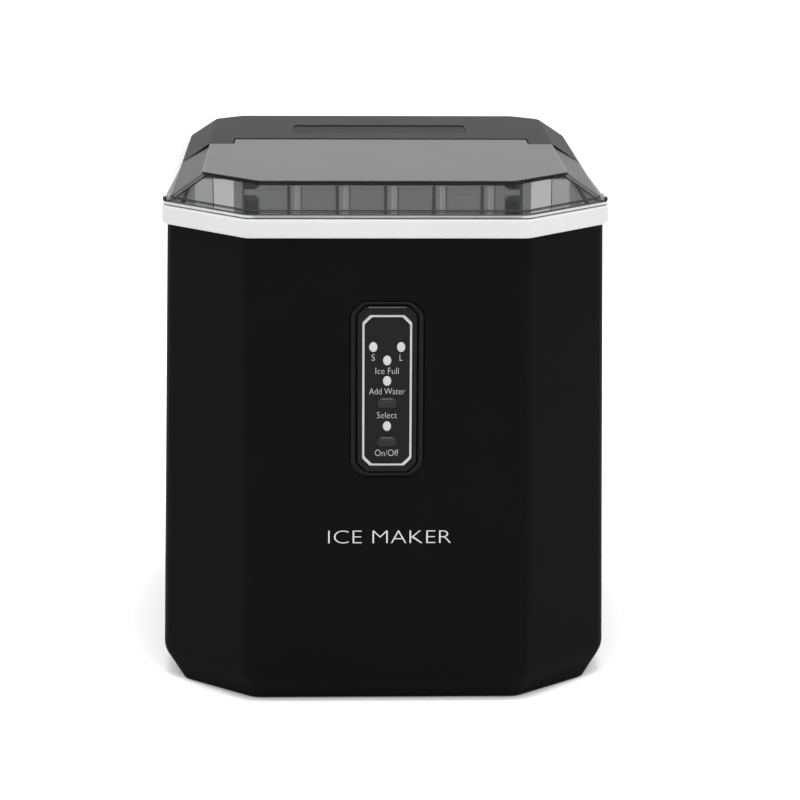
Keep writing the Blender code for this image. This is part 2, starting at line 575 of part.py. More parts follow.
def make_ice_works():
    """Evaporator with its fingers, the frame that carries it, the tilting tray and the shovel."""
    cheek = [(-0.026, 0.252), (0.040, 0.252), (0.046, 0.262), (0.046, 0.300), (0.034, 0.316), (-0.026, 0.316)]
    frame_mesh = prism(cheek, -CHEEK_INSIDE - 0.004, -CHEEK_INSIDE, "YZ")
    frame = place("evaporator_frame", frame_mesh, MID_PLASTIC)
    other = tool("add_frame_cheek", prism(cheek, CHEEK_INSIDE, CHEEK_INSIDE + 0.004, "YZ"))
    combine(frame, other, 'UNION')
    bridge = block((-CHEEK_INSIDE - 0.002, -0.002, 0.300), (CHEEK_INSIDE + 0.002, 0.030, 0.304))
    combine(frame, tool("add_frame_bridge", bridge), 'UNION')
    pivots = rod((0.0, *TRAY_AXIS), "X", 0.0024, 0.4, 12)
    rod((0.0, *SHOVEL_AXIS), "X", 0.0024, 0.4, 12, pivots)
    combine(frame, tool("cut_frame_pivots", pivots), 'DIFFERENCE')

    evaporator = place("evaporator", block((-0.086, 0.001, 0.286), (0.086, 0.028, 0.2995)), NICKEL)
    fingers = bmesh.new()
    for k in range(5):
        rod((FINGER_PITCH * (k - 2), 0.008, 0.2665), "Z", FINGER_RADIUS * 0.85, 0.045, 10, fingers, FINGER_RADIUS)
    for k in range(4):
        rod((FINGER_PITCH * (k - 1.5), 0.021, 0.2665), "Z", FINGER_RADIUS * 0.85, 0.045, 10, fingers, FINGER_RADIUS)
    combine(evaporator, tool("add_evaporator_fingers", fingers), 'UNION')

    tray_y, tray_z = TRAY_AXIS
    tray = place("water_tray", block((-0.0895, tray_y - 0.040, 0.232), (0.0895, tray_y + 0.004, 0.266)),
                 LIGHT_PLASTIC)
    hollow = block((-0.0875, tray_y - 0.038, 0.234), (0.0875, tray_y + 0.002, 0.280))
    combine(tray, tool("cut_tray_hollow", hollow), 'DIFFERENCE')
    stubs = bmesh.new()
    for side in (-1, 1):
        rod((side * 0.0925, tray_y, tray_z), "X", 0.0020, 0.0080, 12, stubs)
    combine(tray, tool("add_tray_stubs", stubs), 'UNION')

    shovel_y, shovel_z = SHOVEL_AXIS
    plate = block((-0.084, shovel_y - 0.001, 0.268), (0.084, shovel_y + 0.001, SHOVEL_CREST))
    shovel = place("ice_shovel", plate, MID_PLASTIC)
    barrel = [(0.0020, -0.0965), (0.0020, -0.0860), (0.0034, -0.0860)]
    barrel += [(radius, -x) for radius, x in reversed(barrel)]
    barrel_mesh = turned(barrel, (0.0, shovel_y, shovel_z), "X", 12)
    combine(shovel, tool("add_shovel_barrel", barrel_mesh), 'UNION')
    fins = bmesh.new()
    for k in range(5):
        for shift in (-0.0032, 0.0032):
            x = FINGER_PITCH * (k - 2) + shift
            block((x - 0.0011, shovel_y - 0.0060, 0.270), (x + 0.0011, shovel_y, SHOVEL_CREST - 0.0004), fins)
    combine(shovel, tool("add_shovel_ribs", fins), 'UNION')

    motor = block((0.1000, 0.012, 0.240), (0.1160, 0.052, 0.286))
    soften(place("tray_motor", motor, BLACK_SATIN), 0.003, 2)

    post = [(0.0030, LINER_FLOOR + 0.0030), (0.0030, 0.170), (0.0060, 0.170), (0.0060, 0.172)]
    place("float_post", turned(post, (0.085, 0.050, 0.0), "Z", 12), WHITE_PLASTIC)
    ring = [(radius, z) for radius, z in ((0.0036, 0.136), (0.0105, 0.136), (0.0105, 0.150), (0.0036, 0.150))]
    steps = 16
    turns = [2 * math.pi * k / steps for k in range(steps)]
    rings = [[(0.085 + r * math.cos(t), 0.050 + r * math.sin(t), z) for t in turns] for r, z in ring]
    place("water_float", skin(rings, loop=True), BLACK_SATIN)


# ---------------------------------------------------------------- machinery
def tube(name, route, radius, finish, sides=1, spacing=0.010):
    """A bent tube on a smooth curve through a route's points."""
    ends = [Vector(route[0]) * 2 - Vector(route[1])]
    points = ends + [Vector(p) for p in route] + [Vector(route[-1]) * 2 - Vector(route[-2])]
    smooth = []
    for a, b, c, d in zip(points, points[1:], points[2:], points[3:]):
        count = max(1, round((c - b).length / spacing))
        for step in range(count):
            t = step / count
            bend = (2 * a - 5 * b + 4 * c - d) * t * t + (3 * (b - c) + d - a) * t ** 3
            smooth.append(b + ((c - a) * t + bend) / 2)
    smooth.append(points[-2])
    curve = bpy.data.curves.new(name, 'CURVE')
    curve.dimensions = '3D'
    curve.bevel_depth = radius
    curve.bevel_resolution = sides
    curve.use_fill_caps = True
    spline = curve.splines.new('POLY')
    spline.points.add(len(smooth) - 1)
    for point, place_at in zip(spline.points, smooth):
        point.co = (*place_at, 1.0)
    made = bpy.data.objects.new(name, curve)
    bpy.context.scene.collection.objects.link(made)
    curve.materials.append(material(name, finish))


def make_refrigeration():
    """Compressor, condenser, drier, hot gas valve and the pipes between them."""
    x, y = COMPRESSOR_CENTRE
    dome = [(0.040, 0.0160), (0.046, 0.0200), (0.046, 0.0600), (0.0472, 0.0615), (0.0472, 0.0645),
            (0.046, 0.0660), (0.046, 0.0930), (0.040, 0.1060), (0.026, 0.1150), (0.008, 0.1180)]
    place("compressor", turned(dome, (x, y, 0.0), "Z", 24), BLACK_SATIN)
    bracket = block((x - 0.050, y - 0.050, 0.0126), (x + 0.050, y + 0.050, 0.0156))
    bracket = place("compressor_bracket", bracket, STEEL)
    legs = bmesh.new()
    for dx in (-0.042, 0.042):
        for dy in (-0.042, 0.042):
            rod((x + dx, y + dy, 0.0108), "Z", 0.006, 0.0052, 10, legs)
    combine(bracket, tool("add_bracket_legs", legs), 'UNION')

    low, high = FAN_CENTRE[0] - 0.046, FAN_CENTRE[0] + 0.046
    pitch, fin, foot, crest = 0.0060, 0.0012, 0.0084, 0.1180
    fins = round((high - low - fin) / pitch) + 1
    comb = [(low, foot), (low + pitch * (fins - 1) + fin, foot)]
    for k in reversed(range(fins)):
        left = low + pitch * k
        comb += [(left + fin, foot + 0.004), (left + fin, crest), (left, crest), (left, foot + 0.004)]
    comb = [point for point in comb if point not in (comb[2], comb[-1])]
    place("condenser", prism(comb, 0.104, 0.124, "XZ"), ALUMINIUM)
    place("filter_drier", turned([(0.003, 0.036), (0.009, 0.043), (0.009, 0.078), (0.003, 0.085)],
                                 (-0.050, 0.118, 0.0), "Z", 12), COPPER)
    valve = place("hot_gas_valve", block((-0.101, 0.108, 0.131), (-0.079, 0.130, 0.150)), BLACK_SATIN)
    coil = rod((-0.090, 0.119, 0.158), "Z", 0.009, 0.020, 14)
    combine(valve, tool("add_valve_coil", coil), 'UNION')
    tube("discharge_pipe", [(-0.0262, 0.0808, 0.080), (-0.020, 0.090, 0.088), (-0.020, 0.104, 0.097),
                            (-0.0140, 0.112, 0.100), (-0.0066, 0.112, 0.100)], 0.0022, COPPER)
    tube("liquid_pipe", [(-0.0066, 0.112, 0.036), (-0.0140, 0.112, 0.036), (-0.036, 0.116, 0.020),
                         (-0.048, 0.118, 0.024), (-0.050, 0.118, 0.0355)], 0.0020, COPPER)
    tube("capillary_tube", [(-0.050, 0.118, 0.0856), (-0.050, 0.116, 0.180), (-0.050, 0.096, 0.290),
                            (-0.050, 0.082, 0.3235), (-0.050, 0.062, 0.3235), (-0.050, 0.046, 0.306),
                            (-0.050, 0.0360, 0.2945), (-0.050, 0.0286, 0.294)], 0.0014, COPPER, 1, 0.014)
    tube("suction_pipe", [(-0.068, 0.0286, 0.2935), (-0.068, 0.0360, 0.2940), (-0.068, 0.046, 0.305), (-0.068, 0.064, 0.3230),
                          (-0.068, 0.080, 0.3210), (-0.068, 0.088, 0.300), (-0.068, 0.092, 0.200),
                          (-0.067, 0.086, 0.130), (-0.066, 0.081, 0.1125)], 0.0026, COPPER, 1, 0.014)
    tube("hot_gas_pipe", [(-0.086, 0.080, 0.1070), (-0.088, 0.096, 0.116), (-0.090, 0.114, 0.120),
                          (-0.090, 0.119, 0.1300)], 0.0020, COPPER)


def make_fan():
    """Shroud, blades on a hub, and the motor on its cross bar."""
    x, z = FAN_CENTRE
    shroud = place("fan_shroud", block((x - 0.048, 0.1256, 0.0084), (x + 0.048, 0.1290, 0.120)), BLACK_SATIN)
    mouth = rod((x, 0.127, z), "Y", FAN_RADIUS + 0.002, 0.02, 28)
    combine(shroud, tool("cut_shroud_mouth", mouth), 'DIFFERENCE')
    hub = turned([(0.010, -0.0060), (0.012, -0.0040), (0.012, 0.0060)], (0.0, 0.0, 0.0), "Y", 16)
    fan = place("fan_blade", hub, GREY_PLASTIC)
    fan.location = (x, 0.137, z)
    blades = bmesh.new()
    for k in range(5):
        matrix = (Matrix.Rotation(2 * math.pi * k / 5, 4, 'Y') @ Matrix.Translation((0.023, 0.0, 0.0))
                  @ Matrix.Rotation(math.radians(32), 4, 'X') @ Matrix.Diagonal((0.027, 0.0012, 0.018, 1.0)))
        bmesh.ops.create_cube(blades, size=1.0, matrix=matrix)
    combine(fan, tool("add_fan_blades", blades, fan), 'UNION')
    body = [(0.006, 0.1445), (0.016, 0.1470), (0.016, 0.1600)]
    motor = place("fan_motor", turned(body, (x, 0.0, z), "Y", 18), STEEL)
    bar = block((x - 0.046, 0.1540, z - 0.005), (x + 0.046, 0.1570, z + 0.005))
    combine(motor, tool("add_motor_bar", bar), 'UNION')


def make_water_and_wiring():
    """Pump and hose, drain, circuit board and the mains gland."""
    barrel = [(0.016, 0.086), (0.018, 0.088), (0.018, 0.1280)]
    place("water_pump", turned(barrel, (0.085, -0.090, 0.0), "Z", 16), BLACK_SATIN)
    tube("water_hose", [(0.1036, -0.090, 0.108), (0.1110, -0.090, 0.108), (0.119, -0.070, 0.106), (0.119, -0.030, 0.104),
                        (0.119, 0.030, 0.108), (0.113, 0.080, 0.126), (0.104, 0.090, 0.170),
                        (0.098, 0.088, 0.280), (0.092, 0.086, 0.318), (0.080, 0.070, 0.3275),
                        (0.064, 0.046, 0.320), (0.060, 0.0365, 0.300), (0.060, 0.0345, 0.272)],
         0.0028, SILICONE, 2)
    y, z = DRAIN_PLACE
    tube("drain_tube", [(DRAIN_SUMP_X, y, 0.1296), (DRAIN_SUMP_X, y, 0.090), (DRAIN_SUMP_X - 0.002, y, 0.056),
                        (DRAIN_SUMP_X - 0.012, y, 0.038), (-0.1265, y, z)], 0.0050, SILICONE, 2)
    cap = [(0.0060, -0.0140), (0.0060, -0.0036), (0.0118, -0.0036), (0.0118, 0.0010), (0.0108, 0.0018)]
    profile = [(radius, -height) for radius, height in cap]
    cap_mesh = turned(profile, (0.0, 0.0, 0.0), "X", 24)
    drain_cap = place("drain_cap", cap_mesh, BLACK_SATIN)
    drain_cap.location = (DRAIN_CAP_X, y, z)
    grip = block((-0.0040, -0.0085, -0.0012), (0.0, 0.0085, 0.0012))
    combine(drain_cap, tool("add_cap_grip", grip, drain_cap), 'UNION')

    board = place("main_board", block((-0.024, 0.1580, 0.150), (0.086, 0.1596, 0.244)), BOARD_GREEN)
    chips = block((-0.016, 0.1440, 0.206), (0.010, 0.1590, 0.236))
    block((0.018, 0.1430, 0.160), (0.036, 0.1590, 0.188), chips)
    block((0.044, 0.1430, 0.160), (0.062, 0.1590, 0.188), chips)
    rod((0.070, 0.1500, 0.222), "Y", 0.008, 0.018, 12, chips)
    combine(board, tool("add_board_chips", chips), 'UNION')

    sleeve = [(0.0036, -0.0100), (0.0098, -0.0100), (0.0098, -0.0030), (0.0070, -0.0030), (0.0070, GAP),
              (0.0100, GAP), (0.0092, 0.0018), (0.0050, 0.0021), (0.0036, 0.0017)]
    x, z = GLAND_PLACE
    steps = 16
    turns = [2 * math.pi * k / steps for k in range(steps)]
    rings = [[(x + r * math.cos(t), depth - PANEL_SINK, z + r * math.sin(t)) for t in turns]
             for r, depth in sleeve]
    place("cord_gland", skin(rings, loop=True), BLACK_RUBBER, rear_place)


make_body_shell()
make_rear_panel()
make_base()
make_top_rim()
make_lid()
make_rear_cover()
make_control_panel()
make_inner_liner()
make_basket()
make_ice_works()
make_refrigeration()
make_fan()
make_water_and_wiring()
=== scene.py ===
"""Looks for the countertop ice maker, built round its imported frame. Metres, +Z up, front to -Y."""
import json
import math

import bmesh
import bpy
from mathutils import Matrix, Vector


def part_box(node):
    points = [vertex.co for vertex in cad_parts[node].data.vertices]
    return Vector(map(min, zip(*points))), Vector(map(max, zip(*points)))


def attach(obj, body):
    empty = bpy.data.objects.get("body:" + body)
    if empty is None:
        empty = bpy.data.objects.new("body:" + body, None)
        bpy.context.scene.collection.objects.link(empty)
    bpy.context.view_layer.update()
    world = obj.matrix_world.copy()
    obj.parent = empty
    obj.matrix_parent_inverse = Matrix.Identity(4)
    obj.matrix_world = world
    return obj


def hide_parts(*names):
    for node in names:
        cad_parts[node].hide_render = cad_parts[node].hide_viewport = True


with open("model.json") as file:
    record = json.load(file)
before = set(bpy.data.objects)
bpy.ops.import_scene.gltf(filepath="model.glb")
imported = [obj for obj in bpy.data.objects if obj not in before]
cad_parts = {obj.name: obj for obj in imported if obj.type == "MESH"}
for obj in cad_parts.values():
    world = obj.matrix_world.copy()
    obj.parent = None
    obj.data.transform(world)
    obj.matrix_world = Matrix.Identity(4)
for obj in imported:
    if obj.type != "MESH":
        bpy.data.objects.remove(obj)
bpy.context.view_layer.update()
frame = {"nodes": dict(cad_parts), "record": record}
nodes = frame["nodes"]
joints = {joint["name"]: joint for joint in frame["record"]["behaviour"]["joints"]}

# ---------------------------------------------------------------- sizes read off the frame
BODY_LOW, BODY_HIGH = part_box("body_shell")
RIM_LOW, RIM_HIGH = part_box("top_rim")
LID_LOW, LID_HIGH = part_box("lid")
COVER_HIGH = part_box("rear_cover")[1]
BEZEL_LOW, BEZEL_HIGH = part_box("control_bezel")
PANEL_LOW, PANEL_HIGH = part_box("rear_panel")

FRONT_FLAT = 0.0888              # half width of the flat front between the corner chamfers
FRONT_CHAMFER = 0.0505
REAR_FLAT = 0.100
REAR_CHAMFER = 0.036
BEVEL_TOP = 0.0183               # height of the bevel round the foot
BODY_TOP_INSET = 0.0034          # how far the housing's top edge lies inside the rim's outline
BODY_FOOT_FLARE = 0.0033         # how far it stands out of that outline above the bevel
BODY_WALL = 0.0028
CORNER_RADIUS = 0.012
LID_WALL = 0.0022
GAP = 0.0004                     # between pieces that sit in each other
LEAN = math.atan((BODY_TOP_INSET + BODY_FOOT_FLARE) / (BODY_HIGH.z - BEVEL_TOP))
HINGE = Vector(joints["lid_hinge"]["pos_m"])
PANEL_MIDDLE_Z = (BEZEL_LOW.z + BEZEL_HIGH.z) / 2
PLATE_SIZE = (PANEL_HIGH.x - PANEL_LOW.x, 0.267)
PLATE_CHAMFER = 0.010


# ---------------------------------------------------------------- materials
class Recipe:
    """A Principled material with the node helpers that every finish here uses."""

    def __init__(self, name, **sockets):
        self.material = bpy.data.materials.new(name)
        self.material.use_nodes = True
        self.tree = self.material.node_tree
        self.shader = self.tree.nodes["Principled BSDF"]
        self.place = self.add("ShaderNodeTexCoord").outputs["Object"]
        for key, value in sockets.items():
            self.shader.inputs[key.replace("_", " ")].default_value = value

    def add(self, kind, **inputs):
        node = self.tree.nodes.new(kind)
        for key, value in inputs.items():
            node.inputs[key].default_value = value
        return node

    def link(self, output, socket):
        self.tree.links.new(output, socket)

    def noise(self, scale, detail=2.0, stretch=(1.0, 1.0, 1.0)):
        mapping = self.add("ShaderNodeMapping", Scale=stretch)
        self.link(self.place, mapping.inputs["Vector"])
        noise = self.add("ShaderNodeTexNoise", Scale=scale, Detail=detail)
        self.link(mapping.outputs["Vector"], noise.inputs["Vector"])
        return noise.outputs["Fac"]

    def span(self, value, low, high, from_low=0.3, from_high=0.7):
        """Map a noise value to a range of numbers."""
        node = self.add("ShaderNodeMapRange")
        for socket, number in zip(node.inputs[1:5], (from_low, from_high, low, high)):
            socket.default_value = number
        self.link(value, node.inputs[0])
        return node.outputs[0]

    def tint(self, value, dark, light):
        """Colour between two tones, driven by a 0 to 1 value."""
        node = self.add("ShaderNodeMix")
        node.data_type = 'RGBA'
        node.inputs[6].default_value = (*dark, 1.0)
        node.inputs[7].default_value = (*light, 1.0)
        self.link(value, node.inputs[0])
        return node.outputs[2]

    def bump(self, heights):
        """Stack bumps; each entry is (height value, distance in metres, strength)."""
        normal = None
        for height, distance, strength in heights:
            node = self.add("ShaderNodeBump", Distance=distance, Strength=strength)
            self.link(height, node.inputs["Height"])
            if normal:
                self.link(normal, node.inputs["Normal"])
            normal = node.outputs["Normal"]
        self.link(normal, self.shader.inputs["Normal"])


def shades(colour, spread):
    return [c * (1 - spread) for c in colour], [min(1.0, c * (1 + spread)) for c in colour]


def moulded(name, colour, rough, spread=0.10, grain=2600.0, depth=0.00002, strength=0.25, sway=0.03,
            uneven=1.0, **sockets):
    """Moulded plastic: fine spark grain, faint flow clouding and uneven gloss.

    The grain has a scale, a depth and a strength; sway is how much the surface waves, and uneven is how
    much its gloss varies.
    """
    recipe = Recipe(name, **sockets)
    cloud = recipe.span(recipe.noise(14.0, 3.0), 0.0, 1.0)
    recipe.link(recipe.tint(cloud, *shades(colour, spread)), recipe.shader.inputs["Base Color"])
    glossy, dull = rough * (1 - 0.12 * uneven), min(1.0, rough * (1 + 0.14 * uneven))
    recipe.link(recipe.span(recipe.noise(55.0, 4.0), glossy, dull), recipe.shader.inputs["Roughness"])
    recipe.bump([(recipe.noise(9.0, 2.0), 0.0006, sway), (recipe.noise(grain, 2.0), depth, strength)])
    return recipe.material


def metal(name, colour, rough, stretch=(1.0, 1.0, 30.0), scale=140.0, spread=0.12):
    """Drawn or rolled metal with lines along one direction and dull patches."""
    recipe = Recipe(name, Metallic=1.0)
    lines = recipe.noise(scale, 3.0, stretch)
    recipe.link(recipe.tint(recipe.span(lines, 0.0, 1.0), *shades(colour, spread)),
                recipe.shader.inputs["Base Color"])
    recipe.link(recipe.span(recipe.noise(70.0, 4.0), rough * 0.75, rough * 1.35),
                recipe.shader.inputs["Roughness"])
    recipe.bump([(lines, 0.00002, 0.20)])
    return recipe.material


# ---------------------------------------------------------------- mesh helpers
def shade(piece, sharp=32.0):
    """Smooth shading, with edges over an angle in degrees kept sharp."""
    piece.data.shade_smooth()
    piece.data.set_sharp_from_angle(angle=math.radians(sharp))


def finish_piece(name, mesh, material, body, stands_for=(), smooth=32.0, recalc=True):
    """Turn a bmesh into a piece that rides on a body and may stand for CAD nodes."""
    if recalc:
        bmesh.ops.recalc_face_normals(mesh, faces=mesh.faces)
    data = bpy.data.meshes.new(name)
    mesh.to_mesh(data)
    mesh.free()
    data.materials.append(material)
    made = bpy.data.objects.new(name, data)
    shade(made, smooth)
    bpy.context.scene.collection.objects.link(made)
    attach(made, body)
    if stands_for:
        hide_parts(*stands_for)
    return made


def cutter(mesh):
    """A mesh that shapes another piece; carve removes it again."""
    bmesh.ops.recalc_face_normals(mesh, faces=mesh.faces)
    data = bpy.data.meshes.new("cutter")
    mesh.to_mesh(data)
    mesh.free()
    made = bpy.data.objects.new("cutter", data)
    bpy.context.scene.collection.objects.link(made)
    return made


def bake_modifiers(piece):
    """Replace a piece's mesh with what its modifiers make of it."""
    shaped = bpy.data.meshes.new_from_object(piece.evaluated_get(bpy.context.evaluated_depsgraph_get()))
    piece.modifiers.clear()
    piece.data = shaped


def carve(piece, *meshes, operation='DIFFERENCE'):
    """Cut meshes out of a piece, or add them to it, for good."""
    tools = [cutter(mesh) for mesh in meshes]
    for tool in tools:
        step = piece.modifiers.new("carve", 'BOOLEAN')
        step.operation = operation
        step.object = tool
        step.solver = 'EXACT'
    bpy.context.view_layer.update()
    bake_modifiers(piece)
    for tool in tools:
        bpy.data.objects.remove(tool)


def round_edges(piece, width, segments=2, angle=35.0):
    """A small radius along sharp edges, with flat faces kept flat in the shading."""
    step = piece.modifiers.new("edges", 'BEVEL')
    step.width = width
    step.segments = segments
    step.limit_method = 'ANGLE'
    step.angle_limit = math.radians(angle)
    step.use_clamp_overlap = True
    weigh = piece.modifiers.new("normals", 'WEIGHTED_NORMAL')
    weigh.keep_sharp = True


def block(low, high, mesh=None):
    mesh = mesh or bmesh.new()
    size = [b - a for a, b in zip(low, high)]
    middle = [(a + b) / 2 for a, b in zip(low, high)]
    matrix = Matrix.Translation(middle) @ Matrix.Diagonal((*size, 1.0))
    bmesh.ops.create_cube(mesh, size=1.0, matrix=matrix)
    return mesh


def rod(centre, axis, radius, length, segments=32, mesh=None):
    mesh = mesh or bmesh.new()
    turn = {"X": Matrix.Rotation(math.pi / 2, 4, 'Y'), "Y": Matrix.Rotation(-math.pi / 2, 4, 'X'),
            "Z": Matrix.Identity(4)}[axis]
    bmesh.ops.create_cone(mesh, cap_ends=True, segments=segments, radius1=radius, radius2=radius,
                          depth=length, matrix=Matrix.Translation(centre) @ turn)
    return mesh


def skin(rings, loop=False, mesh=None, caps=True, closed=True):
    """Faces between rows of points: closed rings or open strips, capped or joined end to end."""
    mesh = mesh or bmesh.new()
    rows = [[mesh.verts.new(point) for point in ring] for ring in rings]
    pairs = list(zip(rows, rows[1:]))
    if loop:
        pairs.append((rows[-1], rows[0]))
    count = len(rows[0]) if closed else len(rows[0]) - 1
    for low, high in pairs:
        for i in range(count):
            j = (i + 1) % len(low)
            mesh.faces.new((low[i], low[j], high[j], high[i]))
    if caps and not loop:
        mesh.faces.new(rows[0][::-1])
        mesh.faces.new(rows[-1])
    return mesh


def rounded(corners, radius, steps=8):
    """Replace each corner of a closed outline with an arc."""
    points = []
    for k, corner in enumerate(corners):
        here = Vector(corner)
        back = (Vector(corners[k - 1]) - here).normalized()
        ahead = (Vector(corners[(k + 1) % len(corners)]) - here).normalized()
        half = back.angle(ahead) / 2
        centre = here + (back + ahead).normalized() * (radius / math.sin(half))
        start = here + back * (radius / math.tan(half)) - centre
        sweep = start.angle_signed(here + ahead * (radius / math.tan(half)) - centre)
        for step in range(steps + 1):
            points.append(tuple(centre + Matrix.Rotation(-sweep * step / steps, 2) @ start))
    return points


def inset(corners, distance):
    """Move every side of an outline inwards by the same distance."""
    lines = []
    for k, corner in enumerate(corners):
        here, ahead = Vector(corner), Vector(corners[(k + 1) % len(corners)])
        along = (ahead - here).normalized()
        lines.append((here + Vector((-along.y, along.x)) * distance, along))
    moved = []
    for k, (start, along) in enumerate(lines):
        before, back = lines[k - 1]
        reach = (start - before).cross(along) / back.cross(along)
        moved.append(tuple(before + back * reach))
    return moved


def rectangle(width, height, chamfer, centre=(0.0, 0.0)):
    x, z = width / 2, height / 2
    corners = [(x - chamfer, -z), (x, -z + chamfer), (x, z - chamfer), (x - chamfer, z)]
    corners += [(-u, v) for u, v in reversed(corners)]
    return [(u + centre[0], v + centre[1]) for u, v in corners]


def octagon(half, front, back, front_half, front_end, rear_half, rear_end):
    right = [(front_half, front), (half, front_end), (half, rear_end), (rear_half, back)]
    return right + [(-x, y) for x, y in reversed(right)]


def at_height(outline, z):
    return [(x, y, z) for x, y in outline]


def eased(stations, reach, steps=6):
    """Round the inner corners of a list of (height, plan outline) stations."""
    def between(a, b, t):
        outline = [tuple(Vector(p).lerp(Vector(q), t)) for p, q in zip(a[1], b[1])]
        return (a[0] + (b[0] - a[0]) * t, outline)

    def distance(a, b):
        return max((Vector((*p, a[0])) - Vector((*q, b[0]))).length for p, q in zip(a[1], b[1]))

    soft = [stations[0]]
    for before, here, after in zip(stations, stations[1:], stations[2:]):
        start = between(here, before, min(0.45, reach / distance(here, before)))
        end = between(here, after, min(0.45, reach / distance(here, after)))
        for step in range(steps + 1):
            t = step / steps
            soft.append(between(between(start, here, t), between(here, end, t), t))
    return soft + [stations[-1]]


def rings_of(stations, radius, steps=8):
    return [at_height(rounded(outline, radius, steps), z) for z, outline in stations]


def xz_rings(outline, depths):
    return [[(x, y, z) for x, z in outline] for y in depths]


def yz_rings(outline, places):
    return [[(x, y, z) for y, z in outline] for x in places]


def shrunk(size, distance):
    return size[0] - 2 * distance, size[1] - 2 * distance


def in_place(mesh, matrix):
    bmesh.ops.transform(mesh, matrix=matrix, verts=mesh.verts)
    return mesh


RIM_PLAN = octagon(RIM_HIGH.x, RIM_LOW.y, RIM_HIGH.y, FRONT_FLAT, RIM_LOW.y + FRONT_CHAMFER,
                   REAR_FLAT, RIM_HIGH.y - REAR_CHAMFER)
FOOT_PLAN = octagon(0.1342, -0.1685, 0.1665, 0.0860, -0.1320, 0.0965, 0.1335)


def body_plan(z):
    """Outer outline of the housing at a height above its bevel."""
    share = (BODY_HIGH.z - z) / (BODY_HIGH.z - BEVEL_TOP)
    return inset(RIM_PLAN, BODY_TOP_INSET - share * (BODY_TOP_INSET + BODY_FOOT_FLARE))


def on_front(z):
    """Matrix of a place on the leaning front face: local Y is inwards and local Z up the face."""
    return Matrix.Translation((0.0, body_plan(z)[0][1], z)) @ Matrix.Rotation(-LEAN, 4, 'X')


PANEL_PLACE = on_front(PANEL_MIDDLE_Z)
REAR_MIDDLE_Z = (PANEL_LOW.z + PANEL_HIGH.z) / 2
REAR_PLACE = (Matrix.Translation((0.0, -body_plan(REAR_MIDDLE_Z)[0][1], REAR_MIDDLE_Z))
              @ Matrix.Rotation(LEAN, 4, 'X'))


# ---------------------------------------------------------------- finishes
def glow(strength):
    """A faint constant light, which stands for daylight that comes in through the smoked lid."""
    return {"Emission_Color": (1.0, 1.0, 1.0, 1.0), "Emission_Strength": strength}


SATIN_BLACK = moulded("satin_black", (0.0042, 0.0042, 0.0045), 0.46, 0.06, 2400.0, 0.00003, 0.30, 0.008, 0.35,
                      Specular_IOR_Level=0.019)
GLOSS_BLACK = moulded("gloss_black", (0.003, 0.003, 0.0033), 0.13, 0.15, 900.0, 0.00001, 0.05,
                      Specular_IOR_Level=0.13)
OVERLAY_BLACK = moulded("overlay_black", (0.0075, 0.0075, 0.008), 0.38, 0.12, 1800.0, 0.00002, 0.20,
                        Specular_IOR_Level=0.10)
BUTTON_GREY = moulded("button_grey", (0.012, 0.012, 0.0125), 0.24, 0.12, 1800.0, 0.00002, 0.10,
                      Specular_IOR_Level=0.22)
RIM_WHITE = moulded("rim_white", (0.54, 0.54, 0.545), 0.34, 0.02, 1500.0, 0.00001, 0.12,
                    Specular_IOR_Level=0.25)
COVER_GREY = moulded("cover_grey", (0.0165, 0.0165, 0.0168), 0.42, 0.01, 2200.0, 0.00002, 0.20, 0.001, 0.2,
                     Specular_IOR_Level=0.020)
# Near-black painted shadow for the rear cover's cut edges and the walls of its sunken field.
PAINTED_SHADOW_BLACK = moulded("painted_shadow_black", (0.003, 0.003, 0.003), 0.70, 0.10, 1500.0, 0.00002, 0.20,
                     Specular_IOR_Level=0.02)
SMOKE_TOP = moulded("smoke_top", (0.022, 0.0222, 0.0228), 0.26, 0.02, 700.0, 0.00001, 0.02, 0.001, 0.25,
                    Alpha=0.86, Specular_IOR_Level=0.20)
SMOKE_SIDE = moulded("smoke_side", (0.008, 0.0082, 0.0085), 0.28, 0.03, 700.0, 0.00001, 0.02, 0.004, 0.3,
                     Alpha=0.94, Specular_IOR_Level=0.035)
# Painted light: the inner faces of the lid's sides get a paler tone and a glow, for the light inside the lid.
SMOKE_INSIDE_PAINTED_LIGHT = moulded("smoke_inside_painted_light", (0.20, 0.202, 0.206), 0.35, 0.04, 700.0, 0.00001, 0.03, Alpha=0.92,
                       **glow(0.17))
# Painted light on the lid's flange: its front far paler than the smoked plastic, a painted highlight over the
# white rim, and its top a dimmer painted light.
FLANGE_PAINTED_HIGHLIGHT = moulded("smoke_flange_painted_highlight", (0.58, 0.582, 0.588), 0.26, 0.03, 700.0, 0.00001, 0.03, Alpha=0.85,
                       Specular_IOR_Level=0.12)
FLANGE_TOP_PAINTED_LIGHT = moulded("flange_top_painted_light", (0.110, 0.1105, 0.112), 0.26, 0.03, 700.0, 0.00001, 0.03, Alpha=0.90,
                     Specular_IOR_Level=0.10)
SMOKE_CLEAR = moulded("smoke_clear", (0.030, 0.0305, 0.0315), 0.08, 0.05, 700.0, 0.00001, 0.03, Alpha=0.18,
                      Specular_IOR_Level=0.12)
# Painted shade: near-black for the lid's front step, its lower edges and the flange's outer foot, where the
# edges and the gap over the rim fall dark.
PAINTED_EDGE_SHADE = moulded("smoke_painted_edge_shade", (0.008, 0.008, 0.0085), 0.30, 0.10, 700.0, 0.00001, 0.03, Alpha=0.95,
                     Specular_IOR_Level=0.04)
# Painted shade: a darker band along the lid's folds, at the shoulder and on the front corner slopes.
PAINTED_FOLD_SHADE = moulded("smoke_painted_fold_shade", (0.030, 0.0304, 0.031), 0.26, 0.05, 700.0, 0.00001, 0.03, Alpha=0.94,
                     Specular_IOR_Level=0.03)
SWEEP_GREY = moulded("sweep_grey", (0.55, 0.55, 0.555), 0.42, 0.06, 1600.0, 0.00003, 0.25, **glow(0.125))
